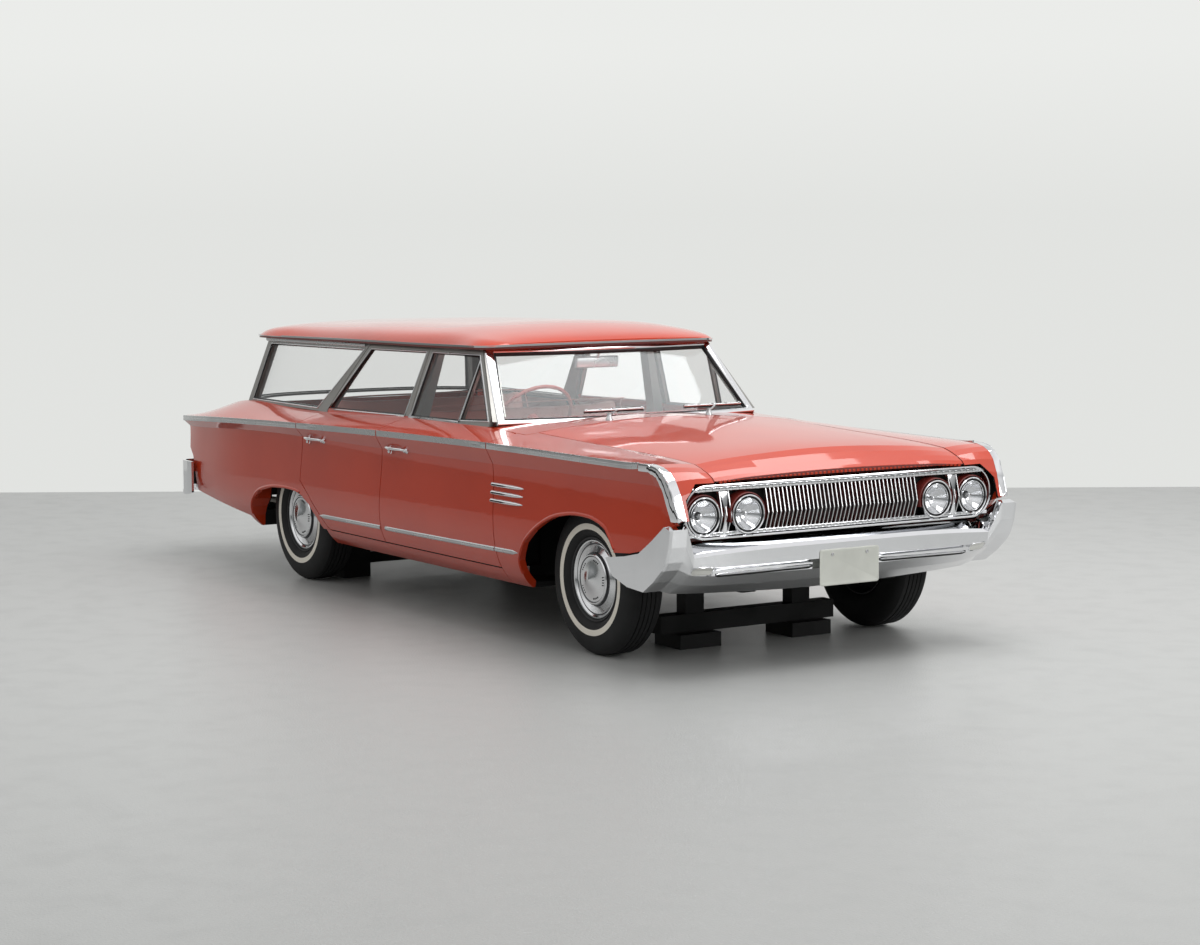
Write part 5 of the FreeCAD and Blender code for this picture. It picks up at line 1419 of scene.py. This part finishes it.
# Door and quarter trim: lower red, upper pink, a bright strip between, armrest, crank and pull
trimFacts = {"front": (0.035, 0.900), "rear": (-0.800, -0.075), "split": 0.655, "low": 0.372, "high": 0.862}
for side, sideName in sideNames.items():
    for end in ("front", "rear"):
        x0, x1 = trimFacts[end]
        doorTree = treeOf(["door_" + end + "_" + sideName])
        body = "door_" + end + "_" + sideName
        cast = sideCast(side)
        lowZ = trimFacts["low"] if end == "front" else 0.50
        liningPiece("door_trim_lower_" + body[5:], doorTree, span(x0, x1, 30),
                    span(lowZ, trimFacts["split"], 12), cast, vinylRed, body)
        liningPiece("door_trim_upper_" + body[5:], doorTree, span(x0, x1, 30),
                    span(trimFacts["split"], trimFacts["high"], 12), cast, vinylPink, body)
        metal, soft = bmesh.new(), bmesh.new()
        wall = 0.771
        for z, half in ((trimFacts["split"], 0.006), (trimFacts["split"] - 0.030, 0.003)):
            addBox(metal, (x0, side * wall - 0.004, z - half), (x1, side * wall + 0.002, z + half), 0.0018)
        middle = 0.5 * (x0 + x1)
        rest0 = (middle - 0.16, min(side * 0.705, side * 0.770), 0.580)
        rest1 = (middle + 0.14, max(side * 0.705, side * 0.770), 0.622)
        addBox(soft, rest0, rest1, 0.014)
        for cx, cz, reach in ((middle + 0.20, 0.545, 0.085), (middle + 0.24, 0.735, 0.075)):
            hub = [(0.0, -0.006), (0.021, -0.006), (0.020, 0.008), (0.012, 0.017), (0.0, 0.020)]
            y = 0.762 if cz < 0.7 else 0.745
            addLathe(metal, hub, (cx, side * y, cz), (0, -side, 0), 20)
            arm = smoothPath([(cx, side * (y - 0.014), cz), (cx - reach * 0.5, side * (y - 0.020), cz - 0.012),
                              (cx - reach, side * (y - 0.030), cz - 0.030)], 5)
            addSweep(metal, arm, circleSection(0.0052, 8), (0, 1, 0))
            knob = [(0.0, -0.002), (0.011, 0.0), (0.012, 0.012), (0.008, 0.019), (0.0, 0.020)]
            addLathe(soft, knob, (cx - reach, side * (y - 0.028), cz - 0.030), (0, -side, 0), 16)
        finishMesh(metal, "door_hardware_" + body[5:], chrome, body, 40.0)
        finishMesh(soft, "door_armrest_" + body[5:], vinylDark, body, 50.0)
    quarterTree = treeOf(["quarter_" + sideName])
    liningPiece("quarter_trim_" + sideName, quarterTree, span(-1.76, -0.93, 26), span(0.545, 0.862, 12),
                sideCast(side), vinylRed, "body")
print("scene: door and quarter trim")

# Dash: panel with gauges, radio, glove box and knobs; a padded roll above
dashFacts = {"face": 0.5865, "low": 0.790, "high": 0.872, "half": 0.625,
             "dials": ((-0.445, 0.034), (-0.360, 0.034), (-0.275, 0.034))}
dashPanel, dashTrim, dashDials, dashMarks, dashSoft = (bmesh.new() for _ in range(5))
face, low, high, half = (dashFacts[k] for k in ("face", "low", "high", "half"))
addBox(dashPanel, (face, -half, low), (face + 0.014, half, high), 0.004)
addBox(dashTrim, (face - 0.003, -half - 0.004, high - 0.001), (face + 0.012, half + 0.004, high + 0.005), 0.002)
addBox(dashTrim, (face - 0.003, -half - 0.004, low - 0.005), (face + 0.012, half + 0.004, low + 0.001), 0.002)
addBox(dashDials, (face - 0.0035, -0.492, low + 0.004), (face + 0.004, -0.228, high - 0.004), 0.003)
for cy, radius in dashFacts["dials"]:
    cz = 0.5 * (low + high)
    rim = [(radius, -0.002), (radius + 0.001, 0.0065), (radius - 0.002, 0.0085), (radius - 0.004, 0.004),
           (radius - 0.004, -0.002)]
    addLathe(dashTrim, rim + rim[:1], (face - 0.0022, cy, cz), (-1, 0, 0), 40)
    for degrees in span(-40.0, 220.0, 13):
        a = math.radians(degrees)
        spot = Vector((face - 0.0062, cy + math.cos(a) * radius * 0.74, cz + math.sin(a) * radius * 0.74))
        turn = Matrix.Translation(spot) @ Matrix.Rotation(a, 4, "X")
        addBox(dashMarks, (-0.0004, -0.0030, -0.0006), (0.0016, 0.0030, 0.0006), 0.0, turn)
    needle = Matrix.Translation((face - 0.0065, cy, cz)) @ Matrix.Rotation(math.radians(215.0), 4, "X")
    addBox(dashMarks, (-0.0006, -0.004, -0.0008), (0.0010, radius * 0.66, 0.0008), 0.0, needle)
addBox(dashDials, (face - 0.004, -0.105, 0.806), (face + 0.004, 0.105, 0.856), 0.003)
addBox(dashTrim, (face - 0.0055, -0.068, 0.826), (face + 0.002, 0.068, 0.848), 0.002)
addBox(dashPanel, (face - 0.004, 0.245, 0.797), (face + 0.004, 0.555, 0.866), 0.003)
knobProfile = [(0.0, -0.004), (0.0085, -0.004), (0.0095, 0.006), (0.0090, 0.016), (0.006, 0.019), (0.0, 0.0195)]
for cy, cz in ((-0.205, 0.850), (-0.205, 0.812), (-0.086, 0.818), (0.086, 0.818), (0.150, 0.831),
               (0.195, 0.831), (-0.535, 0.845), (-0.535, 0.812)):
    addLathe(dashTrim, knobProfile, (face - 0.003, cy, cz), (-1, 0, 0), 20)
addLathe(dashTrim, knobProfile, (face - 0.003, 0.40, 0.852), (-1, 0, 0), 16)
roll = smoothPath([(0.602, -0.655, 0.893), (0.604, -0.4, 0.899), (0.604, 0.0, 0.901), (0.604, 0.4, 0.899),
                   (0.602, 0.655, 0.893)], 8)
addSweep(dashSoft, roll, circleSection(0.017, 16, 0.8))
finishMesh(dashPanel, "dash_panel", brushed, "body", 40.0)
finishMesh(dashTrim, "dash_trim", chrome, "body", 40.0)
finishMesh(dashDials, "dash_dials", dialFace, "body", 40.0)
finishMesh(dashMarks, "dash_marks", dialMark, "body", 40.0)
finishMesh(dashSoft, "dash_roll", vinylRed, "body", 60.0)

# Column levers and mirror
small = bmesh.new()
addSweep(small, smoothPath([(0.548, -0.36, 0.852), (0.540, -0.29, 0.860), (0.520, -0.215, 0.885)], 6),
         circleSection(0.0042, 8))
addSweep(small, smoothPath([(0.560, -0.36, 0.846), (0.552, -0.45, 0.852), (0.536, -0.505, 0.872)], 6),
         circleSection(0.0038, 8))
addLathe(small, knobProfile, (0.520, -0.208, 0.885), (0, 1, 0), 14)
finishMesh(small, "column_levers", chrome, "body", 40.0)
mirrorBm, mirrorFace = bmesh.new(), bmesh.new()
addBox(mirrorBm, (0.478, -0.118, 1.128), (0.498, 0.118, 1.182), 0.008)
addSweep(mirrorBm, smoothPath([(0.492, 0.0, 1.170), (0.510, 0.0, 1.205), (0.520, 0.0, 1.232)], 5),
         circleSection(0.006, 8), (0, 1, 0))
addBox(mirrorFace, (0.4772, -0.110, 1.134), (0.4790, 0.110, 1.176), 0.0004)
finishMesh(mirrorBm, "mirror_case", satinMetal, "body", 40.0)
finishMesh(mirrorFace, "mirror_face", mirrorGlass, "body", 40.0)
print("scene: dash")

# Steering wheel: thin rim with finger grips, two spokes, a bright horn ring and a dished hub
steerFacts = {"centre": (0.490, -0.360, 0.900), "lean": 37.7, "rim": 0.200, "tube": 0.0088}
lean = math.radians(steerFacts["lean"])
axis = Vector((math.cos(lean), 0.0, -math.sin(lean)))
centre = Vector(steerFacts["centre"])
across = Vector((0.0, 1.0, 0.0))
upward = axis.cross(across).normalized()
if upward.z < 0.0:
    upward = -upward


def onWheel(radius, degrees, offset=0.0):
    a = math.radians(degrees)
    return centre + (across * math.cos(a) + upward * math.sin(a)) * radius + axis * offset


rimBm, ringBm = bmesh.new(), bmesh.new()
rimPath = [onWheel(steerFacts["rim"], 3.0 * k) for k in range(120)]
gripScales = [1.0 + 0.055 * math.cos(math.radians(3.0 * k * 24.0)) for k in range(120)]
addSweep(rimBm, rimPath, circleSection(steerFacts["tube"], 12), axis, True, gripScales)
for degrees in (186.0, 354.0):
    spoke = smoothPath([onWheel(0.034, degrees, 0.012),
                        onWheel(0.11, degrees - math.copysign(3.0, degrees - 270.0), 0.016),
                        onWheel(0.197, degrees, 0.0)], 6)
    addSweep(rimBm, spoke, [(0.015, 0.003), (-0.015, 0.003), (-0.013, -0.004), (0.013, -0.004)], axis)
hub = [(0.0, -0.010), (0.020, -0.009), (0.033, -0.003), (0.036, 0.010), (0.032, 0.0395), (0.0, 0.0395)]
addLathe(rimBm, hub, centre, axis, 40)
hornPath = [onWheel(0.118, degrees, 0.006) for degrees in span(188.0, 352.0, 41)]
addSweep(ringBm, hornPath, circleSection(0.0038, 10), axis)
addLathe(ringBm, [(0.0, -0.0145), (0.012, -0.0135), (0.021, -0.0095), (0.0225, -0.006), (0.020, -0.004)],
         centre, axis, 40)
rimPiece = finishMesh(rimBm, "steering_rim", vinylRed, "steering_wheel", 50.0)
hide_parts("steering_wheel")
finishMesh(ringBm, "horn_ring", chrome, "steering_wheel", 40.0)
print("scene: steering wheel")

# Rear: lamp bezels and lenses, window surround, tailgate strip and handle
rearTree = treeOf(["tail_lamps", "quarter_left", "tailgate", "pillars", "rear_bumper"])


# Rearmost face at y and z, near a guess
def rearX(y, z, guess):
    hit = strike(rearTree, (-2.80, y, z), (1, 0, 0))
    return hit.x if hit and abs(hit.x - guess) < 0.06 else guess


tailLamp = {"x": -2.372, "y": 0.745, "z": 0.661, "half": 0.0520, "lens": 0.048, "white": 0.0185,
            "inside": 0.985}


# Ring round a tail lamp, laid on what is behind it
def rearLoop(half, side, lift, count=44, power=0.42):
    ring = []
    for dy, dz in roundedRing(count, power, half, half):
        x = rearX(tailLamp["y"] + dy * tailLamp["inside"], tailLamp["z"] + dz * tailLamp["inside"],
                  tailLamp["x"])
        ring.append((x - lift, side * (tailLamp["y"] + dy), tailLamp["z"] + dz))
    return ring


lampBezel, lampLens, lampWhite = (bmesh.new() for _ in range(3))
for side in (1, -1):
    rings = [rearLoop(tailLamp["half"] + grow, side, lift) for grow, lift in
             ((0.0085, -0.003), (0.0085, 0.0025), (0.0045, 0.0055), (0.0, 0.0055), (-0.003, 0.0015),
              (-0.003, -0.004))]
    addGrid(lampBezel, rings, closeColumns=True)
    rings = [rearLoop(tailLamp["white"] + grow, side, lift, 32, 1.0) for grow, lift in
             ((0.0045, 0.0), (0.0045, 0.0065), (0.001, 0.0085), (-0.001, 0.0065))]
    addGrid(lampBezel, rings, closeColumns=True)
    rings = [rearLoop(tailLamp["lens"] * reach + 0.0005, side, 0.001 + 0.0045 * (1.0 - reach))
             for reach in (1.0, 0.8, 0.6, 0.46)]
    addGrid(lampLens, rings, closeColumns=True)
    rings = [rearLoop(tailLamp["white"] * reach + 0.0002, side, 0.005 + 0.003 * (1.0 - reach), 32, 1.0)
             for reach in (1.0, 0.6, 0.2)]
    lampWhite.faces.new(addGrid(lampWhite, rings, closeColumns=True)[-1])
finishMesh(lampBezel, "tail_lamp_bezels", chrome, "body", 40.0)
finishMesh(lampLens, "tail_lamp_lenses", redLens, "body", 50.0)
finishMesh(lampWhite, "reverse_lamp_lenses", clearLens, "body", 50.0)

backOutline = [(-0.652, 0.880), (0.652, 0.880), (0.580, 1.196), (-0.580, 1.196)]
backFacts = {"half": 0.62, "mid": 1.04, "flat": 0.14, "centre": 1.038, "pillars": -1.70}
backTree = treeOf(["pillars"])


# Rear face of the window frame. Near the opening the plane is carried over from just outside it.
def backX(y, z):
    for reach in (1.0, 1.012, 1.025, 1.04):
        cz = backFacts["centre"] + (z - backFacts["centre"]) * reach
        hit = strike(backTree, (-2.60, y * reach, cz), (1, 0, 0))
        if hit and hit.x < backFacts["pillars"]:
            return hit.x
    return None


# Outline of the rear window in y and z, grown sideways, and up or down near its edges
def backLoop(grow):
    loop = []
    for y, z in cutEdges(backOutline, 16):
        away = z - backFacts["mid"]
        rise = math.copysign(1.0, away) * grow if abs(away) > backFacts["flat"] else 0.0
        loop.append((y * (1.0 + grow / backFacts["half"]), z + rise))
    return loop


plane = [backX(y * 1.01, z) for y, z in backLoop(0.004)]
known = [x for x in plane if x]
plane = [x if x else sum(known) / len(known) for x in plane]
bead, seal = bmesh.new(), bmesh.new()
beadRows, sealRows = ([[(x - lift, y, z) for x, (y, z) in zip(plane, backLoop(grow))] for grow, lift in steps]
                      for steps in (
    ((0.001, -0.006), (0.001, 0.002), (0.004, 0.004), (0.009, 0.004), (0.013, 0.001), (0.013, -0.004)),
    ((0.001, 0.001), (0.0, 0.0), (-0.006, -0.006), (-0.006, -0.010))))
addGrid(bead, beadRows, closeColumns=True)
addGrid(seal, sealRows, closeColumns=True)
finishMesh(bead, "rear_window_surround", satinMetal, "body", 40.0)
finishMesh(seal, "rear_window_seal", sealRubber, "body", 40.0)

gateFacts = {"half": 0.585, "low": 0.632, "high": 0.706, "face": -2.335}
gateX, gateHalf, gateLow, gateHigh = (gateFacts[k] for k in ("face", "half", "low", "high"))
gateTrim, gateDark, gateHandle = (bmesh.new() for _ in range(3))
addBox(gateDark, (gateX - 0.0012, -gateHalf, gateLow), (gateX + 0.004, gateHalf, gateHigh), 0.0008)
for z in (gateLow, gateHigh):
    addBox(gateTrim, (gateX - 0.0055, -gateHalf, z - 0.005), (gateX + 0.002, gateHalf, z + 0.005), 0.0022)
for y in (-gateHalf, gateHalf):
    addBox(gateTrim, (gateX - 0.0055, y - 0.004, gateLow - 0.005), (gateX + 0.002, y + 0.004, gateHigh + 0.005),
           0.0022)
for k in range(7):
    z = gateLow + 0.0105 + 0.00885 * k
    addBox(gateTrim, (gateX - 0.0036, -gateHalf + 0.006, z - 0.0017),
           (gateX + 0.001, gateHalf - 0.006, z + 0.0017), 0.0008)
addBox(gateHandle, (gateX - 0.012, -0.086, 0.7235), (gateX + 0.002, 0.086, 0.7425), 0.004)
grip = smoothPath([(gateX - 0.006, -0.070, 0.7275), (gateX - 0.026, -0.045, 0.7250),
                   (gateX - 0.030, 0.0, 0.7245), (gateX - 0.026, 0.045, 0.7250),
                   (gateX - 0.006, 0.070, 0.7275)], 6)
addSweep(gateHandle, grip, [(0.003, 0.0075), (-0.003, 0.0075), (-0.0042, 0.0), (-0.003, -0.0075),
                            (0.003, -0.0075), (0.0042, 0.0)])
addLathe(gateHandle, [(0.0, -0.002), (0.012, -0.002), (0.012, 0.004), (0.008, 0.007), (0.0, 0.0072)],
         (gateX - 0.001, 0.125, 0.733), (-1, 0, 0), 24)
finishMesh(gateDark, "tailgate_strip_back", blackSatin, "tailgate", 40.0)
finishMesh(gateTrim, "tailgate_strip", satinMetal, "tailgate", 40.0)
finishMesh(gateHandle, "tailgate_handle", chrome, "tailgate", 40.0)

# Side panels of the load bay, up to the underside of the rear quarters
bayFacts = {"front": -1.05, "back": -2.06, "side": 0.6425, "thick": 0.0015, "low": 0.46, "drop": 0.014}
for side in (1, -1):
    quarterTree = treeOf(["quarter_" + sideNames[side]])
    panel = bmesh.new()
    rings = []
    for x in span(bayFacts["front"], bayFacts["back"], 17):
        hit = strike(quarterTree, (x, side * (bayFacts["side"] + 0.004), 1.4), (0, 0, -1))
        top = (hit.z if hit and hit.z > 0.70 else 0.84) - bayFacts["drop"]
        y0, y1 = side * bayFacts["side"], side * (bayFacts["side"] + bayFacts["thick"])
        rings.append([(x, y0, bayFacts["low"]), (x, y0, top), (x, y1, top), (x, y1, bayFacts["low"])])
    addTube(panel, rings)
    finishMesh(panel, "bay_panel_" + sideNames[side], vinylRed, "body", 30.0)
print("scene: rear")

# Engine bay: dressing on the plain engine block, radiator and aprons
bayBlue, bayBlack, bayMetal, bayHose = (bmesh.new() for _ in range(4))
engineFacts = {"cylinders": 6, "fan": (1.9005, 0.0, 0.545), "blades": 5, "cover": (1.57, 0.035, 0.760),
               "fins": 14}
up = (0, 0, 1)
cover = Matrix.Translation(engineFacts["cover"])
addBox(bayBlue, (-0.300, -0.062, -0.006), (0.300, 0.062, 0.058), 0.020, cover)
addBox(bayBlue, (-0.306, -0.070, -0.010), (0.306, 0.070, 0.003), 0.003, cover)
coverBolt = [(0.0, 0.002), (0.006, 0.002), (0.006, 0.006), (0.003, 0.008), (0.0, 0.008)]
cellCap = [(0.0, 0.821), (0.011, 0.821), (0.011, 0.826), (0.0, 0.827)]  # the battery has as many cells
for k in range(engineFacts["cylinders"]):
    for y in (-0.065, 0.065):
        addLathe(bayMetal, coverBolt, cover @ Vector((-0.27 + 0.108 * k, y, 0.0)), up, 10)
    x = 1.30 + 0.105 * k
    pipe = smoothPath([(x, 0.175, 0.70), (x + 0.002, 0.200, 0.695), (x + 0.004, 0.215, 0.668),
                       (x + 0.004, 0.216, 0.62)], 4)
    addSweep(bayBlack, pipe, circleSection(0.018, 10), (1, 0, 0))
    plug = smoothPath([(x + 0.02, -0.175, 0.66), (x + 0.02, -0.215, 0.672), (x * 0.75 + 0.40, -0.232, 0.72),
                       (1.62, -0.205, 0.775)], 5)
    addSweep(bayHose, plug, circleSection(0.0035, 6))
    addLathe(bayBlack, cellCap, (2.000 + 0.028 * k, 0.512, 0.0), up, 12)

# Upright turned parts: filler cap, distributor, air cleaner with its neck and nut, radiator cap, battery
# posts, brake fluid cap
batteryPost = [(0.0, 0.821), (0.010, 0.821), (0.009, 0.836), (0.0, 0.837)]
for part, place, sides, profile in (
        (bayBlack, (1.40, 0.035, 0.760), 20, [(0.0, 0.054), (0.022, 0.054), (0.024, 0.062), (0.020, 0.074),
                                              (0.0, 0.075)]),
        (bayBlack, (1.63, -0.205, 0.0), 20, [(0.0, 0.700), (0.030, 0.700), (0.034, 0.745), (0.038, 0.772),
                                             (0.026, 0.792), (0.0, 0.795)]),
        (bayBlack, (1.49, -0.075, 0.0), 56, [(0.0, 0.822), (0.118, 0.822), (0.128, 0.827), (0.130, 0.838),
                                             (0.124, 0.842), (0.124, 0.858), (0.132, 0.862), (0.130, 0.870),
                                             (0.112, 0.876), (0.04, 0.879), (0.0, 0.879)]),
        (bayBlack, (1.49, -0.090, 0.0), 24, [(0.0, 0.758), (0.046, 0.758), (0.046, 0.772), (0.034, 0.790),
                                             (0.034, 0.824), (0.0, 0.824)]),
        (bayMetal, (1.49, -0.075, 0.0), 12, [(0.0, 0.876), (0.012, 0.876), (0.012, 0.881), (0.005, 0.885),
                                             (0.0, 0.888)]),
        (bayMetal, (2.175, 0.10, 0.0), 24, [(0.0, 0.765), (0.026, 0.765), (0.028, 0.772), (0.026, 0.779),
                                            (0.010, 0.783), (0.0, 0.783)]),
        (bayMetal, (2.015, 0.470, 0.0), 14, batteryPost), (bayMetal, (2.125, 0.555, 0.0), 14, batteryPost),
        (bayMetal, (1.092, -0.365, 0.0), 18, [(0.0, 0.764), (0.022, 0.764), (0.022, 0.774), (0.008, 0.780),
                                              (0.0, 0.780)])):
    addLathe(part, profile, place, up, sides)

# Exhaust manifold, air intake, radiator tank and hoses
addSweep(bayBlack, [(1.28, 0.216, 0.615), (1.57, 0.218, 0.605), (1.85, 0.216, 0.615)], circleSection(0.026, 12))
for part, steps, section, points in (
        (bayBlack, 6, circleSection(0.022, 14, 0.7), [(1.60, -0.10, 0.848), (1.74, -0.14, 0.842),
                                                      (1.87, -0.17, 0.830)]),
        (bayBlack, 4, circleSection(0.026, 14), [(2.185, -0.318, 0.742), (2.185, 0.0, 0.742),
                                                 (2.185, 0.318, 0.742)]),
        (bayHose, 7, circleSection(0.019, 12), [(2.172, -0.13, 0.742), (2.08, -0.11, 0.768),
                                                (1.98, -0.05, 0.765), (1.90, -0.03, 0.735)]),
        (bayHose, 7, circleSection(0.021, 12), [(2.168, 0.18, 0.400), (2.05, 0.16, 0.370), (1.95, 0.11, 0.390),
                                                (1.90, 0.08, 0.420)]),
        (bayHose, 6, circleSection(0.009, 8), [(1.032, -0.33, 0.72), (1.13, -0.297, 0.78), (1.24, -0.10, 0.79),
                                               (1.34, -0.10, 0.755)]),
        (bayHose, 6, circleSection(0.009, 8), [(1.032, 0.30, 0.72), (1.13, 0.27, 0.78), (1.24, 0.16, 0.79),
                                               (1.36, 0.16, 0.755)])):
    addSweep(part, smoothPath(points, steps), section)

# Radiator fins, fan, battery, heater and brake cylinder
for k in range(engineFacts["fins"]):
    addBox(bayMetal, (2.1665, -0.30 + 0.0435 * k, 0.372), (2.1695, -0.298 + 0.0435 * k, 0.722), 0.0)
fanHub = [(0.0, 0.0), (0.045, 0.0), (0.050, 0.010), (0.048, 0.040), (0.0, 0.044)]
addLathe(bayMetal, fanHub, engineFacts["fan"], (1, 0, 0), 28)
for k in range(engineFacts["blades"]):
    around = Matrix.Rotation(2.0 * math.pi * k / engineFacts["blades"], 4, "X")
    blade = Matrix.Translation((1.932, 0.0, 0.545)) @ around @ Matrix.Rotation(math.radians(28.0), 4, "Z")
    addBox(bayMetal, (-0.0015, -0.032, 0.045), (0.0015, 0.032, 0.190), 0.0012, blade)
addBox(bayBlack, (1.985, 0.425, 0.7702), (2.155, 0.600, 0.822), 0.006)
addBox(bayBlack, (1.0305, 0.24, 0.60), (1.155, 0.50, 0.79), 0.018)
addBox(bayMetal, (1.0305, -0.405, 0.700), (1.150, -0.325, 0.765), 0.010)
finishMesh(bayBlue, "engine_covers", engineBlue, "body", 40.0)
finishMesh(bayBlack, "engine_dressing", darkMetal, "body", 40.0)
finishMesh(bayMetal, "engine_hardware", brushed, "body", 40.0)
finishMesh(bayHose, "engine_hoses", rubber, "body", 50.0)
print("scene: engine bay")
